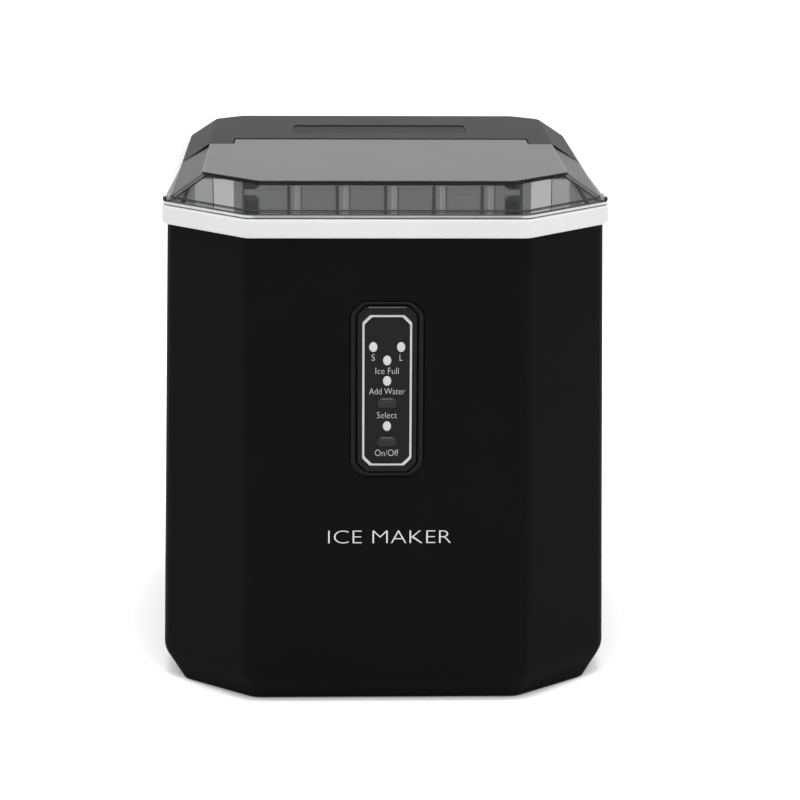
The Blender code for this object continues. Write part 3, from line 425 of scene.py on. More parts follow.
# The shovel's ribs in one grey: painted light on the faces, a stronger painted highlight on the crests, and
# painted shade on the flanks.
RIB_PAINTED_LIGHT = moulded("rib_painted_light", (0.55, 0.55, 0.555), 0.40, 0.04, 1600.0, 0.00003, 0.20, **glow(0.14))
CREST_PAINTED_HIGHLIGHT = moulded("crest_painted_highlight", (0.55, 0.55, 0.555), 0.40, 0.04, 1600.0, 0.00003, 0.20, **glow(0.22))
FLANK_PAINTED_SHADE = moulded("flank_painted_shade", (0.50, 0.50, 0.505), 0.40, 0.04, 1600.0, 0.00003, 0.20)
BADGE_GREY = moulded("badge_grey", (0.0072, 0.0072, 0.0074), 0.42, 0.01, 2200.0, 0.00002, 0.20, 0.001, 0.2,
                     Specular_IOR_Level=0.020)
DOME_GREY = moulded("dome_grey", (0.16, 0.161, 0.164), 0.30, 0.05, 900.0, 0.00001, 0.10)
# Painted light on the white liner's shields: a dimmer glow on the margins here, a brighter one on the panes
# below.
SHIELD_PAINTED_DIM_LIGHT = moulded("shield_painted_dim_light", (0.50, 0.505, 0.51), 0.40, 0.02, 1400.0, 0.00002, 0.15, **glow(0.33))
SHADE_GREY = moulded("shade_grey", (0.15, 0.152, 0.156), 0.42, 0.10, 1600.0, 0.00003, 0.25)
SHIELD_PAINTED_LIGHT = moulded("shield_painted_light", (0.50, 0.505, 0.51), 0.40, 0.02, 1400.0, 0.00002, 0.15, **glow(0.53))
LINER_WHITE = moulded("liner_white", (0.84, 0.845, 0.85), 0.34, 0.03, 1400.0, 0.00002, 0.15)
BASKET_GREY = moulded("basket_grey", (0.50, 0.52, 0.54), 0.32, 0.05, 1400.0, 0.00002, 0.15)
WORKS_GREY = moulded("works_grey", (0.43, 0.435, 0.44), 0.42, 0.10, 1600.0, 0.00003, 0.25)
RUBBER = moulded("rubber", (0.018, 0.018, 0.018), 0.78, 0.20, 1100.0, 0.00006, 0.45)
SILICONE = moulded("silicone", (0.62, 0.63, 0.60), 0.42, 0.05, 900.0, 0.00002, 0.10, Subsurface_Weight=0.15)
BOARD_GREEN = moulded("board_green", (0.02, 0.12, 0.05), 0.40, 0.25, 500.0, 0.00004, 0.30)
LAMP_WHITE = moulded("lamp_white", (0.45, 0.455, 0.465), 0.32, 0.03, 900.0, 0.00001, 0.08)
PRINT_WHITE = moulded("print_white", (0.52, 0.52, 0.53), 0.50, 0.06, 2600.0, 0.00001, 0.20)
SILVER = metal("silver_trim", (0.44, 0.44, 0.445), 0.36, (1.0, 1.0, 12.0), 220.0, 0.06)
STEEL = metal("zinc_steel", (0.46, 0.46, 0.47), 0.34)
COPPER = metal("copper", (0.70, 0.33, 0.18), 0.28, (1.0, 1.0, 6.0), 90.0, 0.18)
NICKEL = metal("nickel_plate", (0.62, 0.60, 0.56), 0.22, (8.0, 1.0, 1.0), 60.0, 0.10)
ALUMINIUM = metal("fin_aluminium", (0.64, 0.65, 0.66), 0.36, (1.0, 1.0, 20.0), 120.0, 0.10)


# ---------------------------------------------------------------- housing
VENT_COUNT = 8
VENT_SIZE = (0.0045, 0.050)
VENT_START = 0.03225
VENT_PITCH = 0.011
VENT_MIDDLE_Z = 0.110
DRAIN_HOLE_RADIUS = 0.0125
RIM_WIDTH = 0.0125


def make_housing():
    """The black wrap: drafted faces, soft vertical edges and the bevel round the foot."""
    top = body_plan(BODY_HIGH.z)
    stations = [(BODY_LOW.z, FOOT_PLAN), (BEVEL_TOP, body_plan(BEVEL_TOP)), (BODY_HIGH.z, top)]
    outer = rings_of(eased(stations, 0.0050, 8), CORNER_RADIUS, 10)
    inside = [(BODY_HIGH.z, inset(top, BODY_WALL)), (BEVEL_TOP, inset(body_plan(BEVEL_TOP), BODY_WALL)),
              (BODY_LOW.z, inset(FOOT_PLAN, BODY_WALL))]
    inner = rings_of(inside, CORNER_RADIUS - BODY_WALL, 10)
    shell = finish_piece("housing", skin(outer + inner, loop=True), SATIN_BLACK, "housing", ("body_shell",))
    rear = skin(xz_rings(rectangle(*shrunk(PLATE_SIZE, -GAP), PLATE_CHAMFER), (-0.012, 0.012)))
    flared = ((0.0044, -0.0040), (0.0006, -0.0002), (0.0, 0.0008), (0.0, 0.0120))
    front = skin([panel_ring(*shrunk(PANEL_SIZE, -GAP - grow), y) for grow, y in flared])
    vents = bmesh.new()
    for side in (-1, 1):
        for k in range(VENT_COUNT):
            middle = (VENT_START + VENT_PITCH * k, VENT_MIDDLE_Z)
            slot = rounded(rectangle(*VENT_SIZE, 0.0008, middle), 0.0011, 3)
            skin(yz_rings(slot, (side * 0.130, side * 0.154)), mesh=vents)
    drain = Vector(joints["drain_cap_turn"]["pos_m"])
    hole = rod(drain, "X", DRAIN_HOLE_RADIUS, 0.024, 48)
    carve(shell, in_place(rear, REAR_PLACE), in_place(front, PANEL_PLACE), vents, hole)
    shade(shell)
    round_edges(shell, 0.0005, 2, 60.0)


def make_rim():
    """White band with rounded upper and lower edges."""
    side = [(RIM_LOW.z, inset(RIM_PLAN, 0.0045)), (RIM_LOW.z, RIM_PLAN), (RIM_HIGH.z, RIM_PLAN),
            (RIM_HIGH.z, inset(RIM_PLAN, 0.0060))]
    outer = rings_of(eased(side, 0.0024, 8), 0.010, 10)
    hole = inset(RIM_PLAN, RIM_WIDTH)
    inner = rings_of([(RIM_HIGH.z, hole), (RIM_LOW.z, hole)], 0.0035, 10)
    rim = finish_piece("rim_band", skin(outer + inner, loop=True), RIM_WHITE, "housing", ("top_rim",))
    round_edges(rim, 0.0004, 2, 60.0)


# ---------------------------------------------------------------- lid and rear cover
SKIRT = octagon(COVER_HIGH.x, LID_LOW.y, -LID_LOW.y, 0.0868, RIM_LOW.y + FRONT_CHAMFER, 0.0985,
                RIM_HIGH.y - REAR_CHAMFER - 0.002)
LID_TOP = LID_HIGH.z - 0.0004
ROOF_TOP = octagon(0.1186, RIM_LOW.y + 0.0333, RIM_LOW.y + 0.3190, 0.0813, RIM_LOW.y + 0.0676,
                   0.1000, RIM_LOW.y + 0.3040)
SHOULDER_Z = 0.3246              # top of the upright skirt, where the slopes start
SEAM_Y = RIM_LOW.y + 0.1833      # the cross seam between the lid and the rear cover
SEAM_GAP = 0.0008
TONGUE_HALF = 0.1015
HINGE_RADIUS = 0.004
LIP = 0.0016                     # the step round the front of the lid's top, painted dark as shade
FLANGE_HEIGHT = 0.0018           # the lid's foot flange, lying over the rim
FLANGE_SETBACK = 0.0010
BADGE_SIZE = (0.123, 0.038)
BADGE_Y = RIM_LOW.y + 0.2512
BADGE_DEPTH = 0.0006
TOP_ZONE, CLEAR_ZONE, EDGE_SHADE_ZONE, SIDE_ZONE, FOLD_SHADE_ZONE = range(5)


def clipped(outline, y, keep_front):
    """The part of a closed outline in front of or behind a cross seam, from +X round to -X."""
    sign = 1 if keep_front else -1
    points = []
    for k, (x, depth) in enumerate(outline):
        after = outline[(k + 1) % len(outline)]
        inside, next_inside = sign * (y - depth) > 0, sign * (y - after[1]) > 0
        if inside:
            points.append((x, depth))
        if inside != next_inside:
            share = (y - depth) / (after[1] - depth)
            points.append((x + (after[0] - x) * share, y))
    start = max(range(len(points)), key=lambda k: (abs(points[k][1] - y) < 1e-9, -points[k][0] * sign))
    return points[start:] + points[:start]


def roof_half(keep_front, seam, top_edge, groove=0.0):
    """Half of the roof as a sheet: skirt, slopes and a flat top that ends in a given edge."""
    step = [(LID_TOP - groove, inset(ROOF_TOP, -0.0002))] if groove else []
    stations = [(LID_LOW.z, SKIRT), (SHOULDER_Z, SKIRT), *step, (LID_TOP, ROOF_TOP),
                (LID_TOP, inset(ROOF_TOP, 0.012))]
    rings = []
    for z, outline in eased(stations, 0.0012 if groove else 0.0022, 6):
        rings.append(at_height(clipped(rounded(outline, 0.007, 8), seam, keep_front), z))
    mesh = skin(rings, caps=False, closed=False)
    mesh.verts.ensure_lookup_table()
    count = len(rings[-1])
    last = mesh.verts[-count:]
    mesh.faces.new(list(last) + [mesh.verts.new(point) for point in top_edge])
    return mesh


def lid_zone(face):
    """Which finish a face of the lid's sheet has: smoked top, clear front, side, or an edge or fold band
    painted dark as shade.
    """
    middle, normal = face.calc_center_median(), face.normal
    in_front = middle.y < RIM_LOW.y + FRONT_CHAMFER + 0.02
    on_lip = middle.z > LID_TOP - LIP * 0.98 and abs(normal.z) < 0.75 and in_front
    if on_lip or middle.z < LID_LOW.z + 0.0004:
        return EDGE_SHADE_ZONE
    if abs(middle.z - SHOULDER_Z) < 0.0006:
        return FOLD_SHADE_ZONE
    if middle.z > LID_TOP - LIP:
        return TOP_ZONE
    if middle.z < SHOULDER_Z:
        return CLEAR_ZONE
    bearing = math.degrees(math.atan2(abs(normal.y), abs(normal.x)))
    if in_front and 8.0 < bearing < 40.0:
        return FOLD_SHADE_ZONE
    on_side = abs(normal.x) > 0.8 * normal.length or abs(normal.x) > abs(normal.y) * 2.0
    return SIDE_ZONE if on_side else CLEAR_ZONE


def make_lid():
    """Smoked lid: one moulded sheet whose tongue curls round the hinge pins."""
    edge = [(TONGUE_HALF, SEAM_Y, LID_TOP), (TONGUE_HALF, HINGE.y, LID_TOP),
            (-TONGUE_HALF, HINGE.y, LID_TOP), (-TONGUE_HALF, SEAM_Y, LID_TOP)]
    mesh = roof_half(True, SEAM_Y, edge, LIP)
    mesh.verts.ensure_lookup_table()
    right, left = mesh.verts[-3], mesh.verts[-2]
    curl = 12
    for k in range(1, curl + 1):
        turn = math.radians(90.0 - 200.0 * k / curl)
        y = HINGE.y + HINGE_RADIUS * math.cos(turn)
        z = HINGE.z + HINGE_RADIUS * math.sin(turn)
        row = mesh.verts.new((TONGUE_HALF, y, z)), mesh.verts.new((-TONGUE_HALF, y, z))
        mesh.faces.new((right, row[0], row[1], left))
        right, left = row
    mesh.normal_update()
    for face in mesh.faces:
        face.material_index = lid_zone(face)
    outside = [SMOKE_TOP, SMOKE_CLEAR, PAINTED_EDGE_SHADE, SMOKE_SIDE, PAINTED_FOLD_SHADE]
    inside = [SMOKE_TOP, SMOKE_CLEAR, PAINTED_EDGE_SHADE, SMOKE_INSIDE_PAINTED_LIGHT, PAINTED_FOLD_SHADE]
    lid = finish_piece("lid_clear", mesh, outside[0], "lid", ("lid",), recalc=False)
    for material in outside[1:] + inside:
        lid.data.materials.append(material)
    thicken(lid, LID_WALL)
    lid.modifiers["wall"].material_offset = len(outside)
    round_edges(lid, 0.00025, 2, 60.0)
    make_flange()
    dress("hinge_pin_left", STEEL)
    dress("hinge_pin_right", STEEL)


def make_flange():
    """The lid's foot flange over the rim, and the rubber nub with its cover at each side."""
    low, high = LID_LOW.z, LID_LOW.z + FLANGE_HEIGHT
    outline = inset(RIM_PLAN, FLANGE_SETBACK)
    taper = outline[1][0] - 0.0042
    outline[2], outline[5] = (taper, SEAM_Y + 0.01), (-taper, SEAM_Y + 0.01)
    outer = [(low, inset(outline, 0.0006)), (low, outline), (high, outline), (high, inset(outline, 0.0006))]
    stations = eased(outer, 0.0005, 4) + [(z, inset(RIM_PLAN, 0.0060)) for z in (high, low)]
    strips = [at_height(clipped(rounded(ring, 0.0090, 10), SEAM_Y, True), z) for z, ring in stations]
    # The flange's faces carry the painted highlight; its top faces get the dimmer painted light.
    flange = finish_piece("lid_flange", skin(strips, loop=True, closed=False), FLANGE_PAINTED_HIGHLIGHT, "lid")
    flange.data.materials.append(PAINTED_EDGE_SHADE)
    flange.data.materials.append(FLANGE_TOP_PAINTED_LIGHT)
    for face in flange.data.polygons:
        # The outward faces at the flange's foot get painted shadow for the gap over the rim.
        if face.center.z < low + 0.0005 and 0.15 < abs(face.normal.z) < 0.98:
            face.material_index = 1
        elif face.center.z > high - 0.0002 and abs(face.normal.z) > 0.7:
            face.material_index = 2
    for side, label in ((-1, "left"), (1, "right")):
        nub_low, nub_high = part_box("lid_tab_" + label)
        middle = (nub_low.y + nub_high.y) / 2
        ends = sorted((side * 0.1402, side * 0.1430))
        nub = block((ends[0], nub_low.y, high + 0.0001), (ends[1], nub_high.y, nub_high.z - 0.0003))
        piece = finish_piece("nub_" + label, nub, RUBBER, "lid", ("lid_tab_" + label,))
        round_edges(piece, 0.0007, 3)
        arc = [math.pi * k / 10 for k in range(11)]
        dome = [(middle + 0.0036 * math.cos(t), high + 0.0002 + 0.0046 * math.sin(t)) for t in arc]
        ends = sorted((side * 0.1376, side * 0.1406))
        cover = finish_piece("nub_cover_" + label, skin(yz_rings(dome, ends)), DOME_GREY, "lid")
        round_edges(cover, 0.0008, 3, 40.0)


def thicken(piece, wall, rim=0):
    step = piece.modifiers.new("wall", 'SOLIDIFY')
    step.thickness = wall
    step.material_offset_rim = rim
    step.offset = -1.0
    step.use_even_offset = True


def make_rear_cover():
    """Grey cover with a notch for the lid's tongue and a shallow rounded field on top; its cut edges and the
    field's walls carry near-black painted shadow.
    """
    seam, half = SEAM_Y + SEAM_GAP, TONGUE_HALF + SEAM_GAP
    notch = HINGE.y + HINGE_RADIUS + SEAM_GAP
    edge = [(-half, seam, LID_TOP), (-half, notch, LID_TOP), (half, notch, LID_TOP), (half, seam, LID_TOP)]
    cover = finish_piece("cover_shell", roof_half(False, seam, edge), COVER_GREY, "housing",
                         ("rear_cover",), recalc=False)
    # The wall's rim faces, which are the cover's cut edges, get the near-black painted shadow.
    cover.data.materials.append(PAINTED_SHADOW_BLACK)
    thicken(cover, LID_WALL, 1)
    bpy.context.view_layer.update()
    bake_modifiers(cover)
    field = rounded(rectangle(*BADGE_SIZE, 0.0030, (0.0, BADGE_Y)), 0.0036, 6)
    carve(cover, skin([at_height(field, z) for z in (LID_TOP - BADGE_DEPTH, LID_TOP + 0.01)]))
    cover.data.materials.append(BADGE_GREY)
    reach = [side / 2 + 0.0003 for side in BADGE_SIZE]
    # The sunken field's walls get the near-black painted shadow; its floor gets badge grey.
    for face in cover.data.polygons:
        in_field = abs(face.center.x) < reach[0] and abs(face.center.y - BADGE_Y) < reach[1]
        if in_field and face.center.z > LID_TOP - BADGE_DEPTH - 0.0001:
            face.material_index = 1 if abs(face.normal.z) < 0.5 else 2
    shade(cover)
    round_edges(cover, 0.00025, 2, 60.0)
    cheeks = bmesh.new()
    for side in (-1, 1):
        ends = sorted((side * half, side * 0.1115))
        low, high = (ends[0], seam + 0.001, HINGE.z - 0.006), (ends[1], HINGE.y + 0.008, LID_TOP - LID_WALL)
        block(low, high, cheeks)
    blocks = finish_piece("cover_cheeks", cheeks, COVER_GREY, "housing")
    round_edges(blocks, 0.0008, 3)


def dress(node, material, edge=0.0, segments=2):
    """Give a carried-over CAD node its material, and small edge radii if asked."""
    made = nodes[node]
    made.data.materials.clear()
    made.data.materials.append(material)
    if edge:
        round_edges(made, edge, segments)


# ---------------------------------------------------------------- control panel
PANEL_SIZE = (BEZEL_HIGH.x - BEZEL_LOW.x, 0.1140)
RING_SIZE = (0.0394, 0.1086)
POCKET_SIZE = (0.0323, 0.0989)
TRIM_SIZE = (0.0315, 0.0981)
TRIM_DROP = 0.0006              # the silver line sits this far below the panel's middle
TRIM_WIDTH = 0.0014
LENS = (0.00262, 0.00315)       # half width and half height of a lamp's lens
BUTTON_TALL = 0.0064
LAMPS = ("lamp_small_ice", "lamp_large_ice", "lamp_ice_full", "lamp_add_water", "lamp_power")
BUTTONS = ("select_button", "power_button")


def panel_ring(width, height, y, drop=0.0, radius=0.0, steps=8):
    """Outline on the panel's face; wider outlines have larger, softer corner chamfers."""
    growth = max(0.0, width - POCKET_SIZE[0])
    chamfer = 0.0048 + 0.20 * growth
    radius = radius or 0.0020 + 0.44 * growth
    return [(x, y, z) for x, z in rounded(rectangle(width, height, chamfer, (0.0, -drop)), radius, steps)]


def eased_profile(points, radius, steps=4):
    """Round the inner corners of an open run of points in any dimension."""
    soft = [Vector(points[0])]
    for before, here, after in zip(points, points[1:], points[2:]):
        before, here, after = Vector(before), Vector(here), Vector(after)
        start = here.lerp(before, min(0.45, radius / (before - here).length))
        end = here.lerp(after, min(0.45, radius / (after - here).length))
        for step in range(steps + 1):
            t = step / steps
            soft.append(start.lerp(here, t).lerp(here.lerp(end, t), t))
    return soft + [Vector(points[-1])]


def up_face(z):
    """Height along the leaning face, from the panel's middle."""
    return (z - PANEL_MIDDLE_Z) / math.cos(LEAN)


def middle_of(name):
    """Place of a piece on the panel: sideways, and along the leaning face."""
    low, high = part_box(name)
    return (low.x + high.x) / 2, up_face((low.z + high.z) / 2)


def turns(steps):
    return [2 * math.pi * k / steps for k in range(steps)]


def make_bezel():
    """Gloss bezel: a sunken margin, a raised ring and the pocket for the printed sheet."""
    wells = bmesh.new()
    for name in LAMPS:
        x, z = middle_of(name)
        oval = [(x + 1.03 * LENS[0] * math.cos(t), z + 1.03 * LENS[1] * math.sin(t)) for t in turns(48)]
        skin(xz_rings(oval, (-0.01, 0.02)), mesh=wells)
    for name in BUTTONS:
        low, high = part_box(name)
        size = shrunk((high.x - low.x, BUTTON_TALL), -GAP)
        well = rounded(rectangle(*size, 0.0016, (0.0, middle_of(name)[1])), 0.0012, 5)
        skin(xz_rings(well, (-0.01, 0.02)), mesh=wells)
    margin = shrunk(PANEL_SIZE, -0.0005)
    profile = [(*margin, 0.0050, 0.0), (*margin, 0.0009, 0.0), (*shrunk(margin, 0.0010), 0.0019, 0.0),
               (*shrunk(RING_SIZE, -0.0005), 0.0019, 0.0), (*shrunk(RING_SIZE, 0.0002), 0.0002, 0.0),
               (*shrunk(RING_SIZE, 0.0014), -0.0012, 0.0),
               (*shrunk(POCKET_SIZE, -0.0008), -0.0012, TRIM_DROP),
               (*POCKET_SIZE, -0.0006, TRIM_DROP), (*POCKET_SIZE, 0.0014, TRIM_DROP)]
    rings = [panel_ring(*point) for point in eased_profile(profile, 0.0009, 5)]
    bezel = finish_piece("bezel", in_place(skin(rings), PANEL_PLACE), GLOSS_BLACK, "housing",
                         ("control_bezel",))
    carve(bezel, in_place(wells.copy(), PANEL_PLACE))
    shade(bezel, 40.0)

    inside = shrunk(TRIM_SIZE, TRIM_WIDTH)
    line = [(*TRIM_SIZE, 0.0010, TRIM_DROP), (*TRIM_SIZE, 0.0, TRIM_DROP), (*inside, 0.0, TRIM_DROP),
            (*inside, 0.0010, TRIM_DROP)]
    rings = [panel_ring(*point, 0.0022, 6) for point in eased_profile(line, 0.00022, 3)]
    trim = in_place(skin(rings, loop=True), PANEL_PLACE)
    finish_piece("trim_line", trim, SILVER, "housing", ("silver_trim",))
    sheet = [panel_ring(*shrunk(inside, 0.0002), y, TRIM_DROP, 0.0020, 6) for y in (0.0012, 0.0003)]
    overlay = finish_piece("printed_sheet", in_place(skin(sheet), PANEL_PLACE), OVERLAY_BLACK, "housing",
                           ("control_overlay",))
    carve(overlay, in_place(wells, PANEL_PLACE))
    round_edges(overlay, 0.00012, 2, 50.0)


def make_lamps():
    """Milky oval lenses, each a shallow dome."""
    for name in LAMPS:
        x, z = middle_of(name)
        stations = [(1.0, 0.0065)]
        for k in range(7):
            lift = math.radians(4.0 + 82.0 * k / 6)
            stations.append((math.cos(lift), 0.0001 - 0.0007 * math.sin(lift)))
        rings = []
        for share, y in stations:
            wide, tall = share * LENS[0], share * LENS[1]
            rings.append([(x + wide * math.cos(t), y, z + tall * math.sin(t)) for t in turns(48)])
        finish_piece(name + "_lens", in_place(skin(rings), PANEL_PLACE), LAMP_WHITE, "housing", (name,))


def make_buttons():
    """Sprung caps with rounded shoulders and a slightly dished top."""
    for name in BUTTONS:
        low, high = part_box(name)
        size = (high.x - low.x, BUTTON_TALL)
        middle = (0.0, middle_of(name)[1])
        profile = [(-0.0003, 0.0065), (-0.0003, 0.0002), (0.0001, 0.0001), (0.0002, -0.0007),
                   (0.0007, -0.0013), (0.0018, -0.0013), (0.0026, -0.0012)]
        rings = []
        for draw_in, y in eased_profile(profile, 0.00012, 3):
            outline = rectangle(*shrunk(size, draw_in), 0.0016 - 0.3 * draw_in, middle)
            rings += xz_rings(rounded(outline, 0.0015, 5), (y,))
        finish_piece(name + "_cap", in_place(skin(rings), PANEL_PLACE), BUTTON_GREY, name, (name,))


def lettering(name, text, width, height, x, z, place, depth=0.00006):
    """Plain printed words of a given size, centred on a point of a face."""
    curve = bpy.data.curves.new(name, 'FONT')
    curve.body = text
    curve.align_x = 'CENTER'
    curve.align_y = 'CENTER'
    curve.resolution_u = 4
    curve.extrude = 0.5
    curve.offset = -0.020        # thinner strokes than the font's own
    words = bpy.data.objects.new(name, curve)
    bpy.context.scene.collection.objects.link(words)
    bpy.context.view_layer.update()
    data = bpy.data.meshes.new_from_object(words.evaluated_get(bpy.context.evaluated_depsgraph_get()))
    bpy.data.objects.remove(words)
    mesh = bmesh.new()
    mesh.from_mesh(data)
    bmesh.ops.remove_doubles(mesh, verts=mesh.verts, dist=0.0001)
    low = [min(vert.co[k] for vert in mesh.verts) for k in range(2)]
    high = [max(vert.co[k] for vert in mesh.verts) for k in range(2)]
    centre = Matrix.Translation((-(low[0] + high[0]) / 2, -(low[1] + high[1]) / 2, 0.0))
    size = Matrix.Diagonal((width / (high[0] - low[0]), height / (high[1] - low[1]), depth, 1.0))
    stand = Matrix.Rotation(math.pi / 2, 4, 'X')
    in_place(mesh, place @ Matrix.Translation((x, 0.0, z)) @ stand @ size @ centre)
    return finish_piece(name, mesh, PRINT_WHITE, "housing", smooth=20.0)


WORDS_SIZE = (0.0790, 0.0086)
WORDS_SHIFT = 0.0021
WORDS_Z = 0.1125


def make_lettering():
    """Function words beside the lamps and buttons, and a plain description of the machine."""
    sheet = PANEL_PLACE @ Matrix.Translation((0.0, 0.00030, 0.0))
    words = [("S", 0.0021, 0.0040, "lamp_small_ice", 0.0036), ("L", 0.0018, 0.0040, "lamp_large_ice", 0.0036),
             ("Ice Full", 0.0146, 0.0040, "lamp_ice_full", 0.0036),
             ("Add Water", 0.0226, 0.0040, "lamp_add_water", 0.0036),
             ("Select", 0.0126, 0.0040, "select_button", 0.0047),
             ("On/Off", 0.0150, 0.0041, "power_button", 0.0041)]
    for text, width, height, above, drop in words:
        name = "label_" + "".join(letter for letter in text.lower() if letter.isalpha())
        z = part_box(above)[0].z - drop
        lettering(name, text, width, height, middle_of(above)[0], up_face(z), sheet)
    lettering("front_words", "ICE MAKER", *WORDS_SIZE, WORDS_SHIFT, 0.0, on_front(WORDS_Z))


# ---------------------------------------------------------------- back, feet and drain
def turned(profile, centre, axis="Z", steps=48, mesh=None):
    """A profile of (radius, height) points turned round an axis."""
    cx, cy, cz = centre
    rings = []
    for radius, height in profile:
        ring = []
        for angle in turns(steps):
            u, v = radius * math.cos(angle), radius * math.sin(angle)
            ring.append({"X": (cx + height, cy + u, cz + v), "Y": (cx + v, cy + height, cz + u),
                         "Z": (cx + u, cy + v, cz + height)}[axis])
        rings.append(ring)
    return skin(rings, mesh=mesh)


def soft_turn(profile, radius=0.0006):
    return [tuple(point) for point in eased_profile(profile, radius, 4)]


REAR_TURN = REAR_PLACE @ Matrix.Rotation(math.pi, 4, 'Z')
FAN_SLOTS = 9
FAN_SLOT_PITCH = 0.009
FAN_SLOTS_RADIUS = 0.040


def make_rear_panel():
    """Plate with rounded exhaust slots, cross-head screws and the cable gland."""
    sink = 0.0022
    outline = rounded(rectangle(*PLATE_SIZE, PLATE_CHAMFER), 0.0025, 6)
    plate = in_place(skin(xz_rings(outline, (sink, sink + 0.0024))), REAR_TURN)
    panel = finish_piece("rear_plate", plate, SATIN_BLACK, "housing", ("rear_panel",))
    fan = Vector(joints["fan_spin"]["pos_m"])
    slots = bmesh.new()
    for k in range(FAN_SLOTS):
        rise = FAN_SLOT_PITCH * (k - FAN_SLOTS // 2)
        half = math.sqrt(FAN_SLOTS_RADIUS ** 2 - rise ** 2)
        middle = (-fan.x, fan.z - REAR_MIDDLE_Z + rise)
        slot = rounded(rectangle(2 * half, 0.0044, 0.0009, middle), 0.0011, 4)
        skin(xz_rings(slot, (-0.01, 0.012)), mesh=slots)
    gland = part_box("cord_gland")
    hole = (-(gland[0].x + gland[1].x) / 2, 0.0, (gland[0].z + gland[1].z) / 2 - REAR_MIDDLE_Z)
    rod(hole, "Y", 0.0074, 0.02, 40, slots)
    carve(panel, in_place(slots, REAR_TURN))
    round_edges(panel, 0.0005, 3, 50.0)
    for name in ("left_low", "right_low", "left_high", "right_high"):
        low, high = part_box("rear_screw_" + name)
        x, z = -(low.x + high.x) / 2, (low.z + high.z) / 2 - REAR_MIDDLE_Z
        profile = [(0.0015, 0.0080), (0.0015, -0.0002), (0.0034, -0.0002), (0.0033, -0.0010),
                   (0.0022, -0.0018), (0.0006, -0.0020)]
        head = in_place(turned(soft_turn(profile, 0.0003), (x, sink, z), "Y", 36), REAR_TURN)
        screw = finish_piece("screw_" + name, head, STEEL, "housing", ("rear_screw_" + name,))
        cuts = []
        for half_x, half_z in ((0.0017, 0.00035), (0.00035, 0.0017)):
            cut = block((x - half_x, sink - 0.004, z - half_z), (x + half_x, sink - 0.0010, z + half_z))
            cuts.append(in_place(cut, REAR_TURN))
        carve(screw, *cuts)
    profile = [(0.0036, 0.0122), (0.0098, 0.0122), (0.0098, 0.0052), (0.0070, 0.0052), (0.0070, sink - GAP),
               (0.0100, sink - GAP), (0.0092, sink - 0.0018), (0.0052, sink - 0.0021),
               (0.0036, sink - 0.0017)]
    rings = []
    for radius, depth in soft_turn(profile, 0.0004):
        circle = [(hole[0] + radius * math.cos(t), hole[2] + radius * math.sin(t)) for t in turns(48)]
        rings += xz_rings(circle, (depth,))
    finish_piece("gland", in_place(skin(rings, loop=True), REAR_TURN), RUBBER, "housing", ("cord_gland",))


def make_feet():
    """Round rubber pads with a shallow hollow below."""
    for place in ("front_left", "front_right", "rear_left", "rear_right"):
        name = "foot_" + place
        low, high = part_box(name)
        middle = ((low.x + high.x) / 2, (low.y + high.y) / 2, 0.0)
        profile = [(0.0052, 0.0010), (0.0060, 0.0000), (0.0086, 0.0000), (0.0095, 0.0012),
                   (0.0095, high.z - 0.0004), (0.0090, high.z)]
        finish_piece(name + "_pad", turned(soft_turn(profile, 0.0004), middle), RUBBER, "housing", (name,))


RIDGES = 24                     # finger ridges round the drain cap


def make_drain_cap():
    """Round plug with finger ridges round its rim and a grip bar."""
    pin = Vector(joints["drain_cap_turn"]["pos_m"])
    face = -0.0018
    rings = []
    profile = [(0.0060, 0.0140, 0.0), (0.0060, 0.0036, 0.0), (0.0112, 0.0036, 0.3), (0.0115, 0.0028, 1.0),
               (0.0115, -0.0008, 1.0), (0.0108, face + 0.0001, 0.4), (0.0100, face, 0.0),
               (0.0092, face + 0.0006, 0.0)]
    for radius, depth, ridge in profile:
        ring = []
        for t in turns(144):
            reach = radius + 0.0003 * ridge * math.cos(RIDGES * t)
            ring.append((pin.x + depth, pin.y + reach * math.cos(t), pin.z + reach * math.sin(t)))
        rings.append(ring)
    finish_piece("drain_plug", skin(rings), SATIN_BLACK, "drain_cap", ("drain_cap",))
    bar = rounded(rectangle(0.0170, 0.0026, 0.0008), 0.0005, 4)
    outer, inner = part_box("drain_cap")[0].x + 0.00005, pin.x + 0.0002
    rows = [[(x, pin.y + y * grow, pin.z + z * grow) for y, z in bar]
            for x, grow in ((inner, 1.0), (outer + 0.0006, 0.97), (outer + 0.0001, 0.90), (outer, 0.80))]
    finish_piece("drain_grip", skin(rows), SATIN_BLACK, "drain_cap")


# ---------------------------------------------------------------- inside the machine
def dress_inside():
    """Finishes for the CAD nodes that are shown as they are."""
    finishes = {
        SATIN_BLACK: ["base_pan", "compressor", "water_pump", "hot_gas_valve", "tray_motor", "fan_shroud",
                      "water_float"],
        SHADE_GREY: ["ice_full_sensor_left", "ice_full_sensor_right"],
        LINER_WHITE: ["inner_liner", "float_post"],
        BASKET_GREY: ["ice_basket", "water_tray"],
        WORKS_GREY: ["evaporator_frame", "fan_blade"],
        NICKEL: ["evaporator"],
        STEEL: ["compressor_bracket", "fan_motor"],
        COPPER: ["filter_drier", "discharge_pipe", "liquid_pipe", "capillary_tube", "suction_pipe",
                 "hot_gas_pipe"],
        ALUMINIUM: ["condenser"],
        BOARD_GREEN: ["display_board", "main_board"],
        SILICONE: ["water_hose", "drain_tube"],
    }
    unrounded = ("discharge_pipe", "liquid_pipe", "capillary_tube", "suction_pipe", "hot_gas_pipe",
                 "water_hose", "drain_tube", "condenser", "base_pan")
    for material, names in finishes.items():
        for name in names:
            dress(name, material, 0.0 if name in unrounded else 0.0004)


SHIELD_LOW = 0.271
SHIELD_HIGH = 0.3208
SHIELD_FRONT = -0.0344
SHIELD_BACK = -0.0341


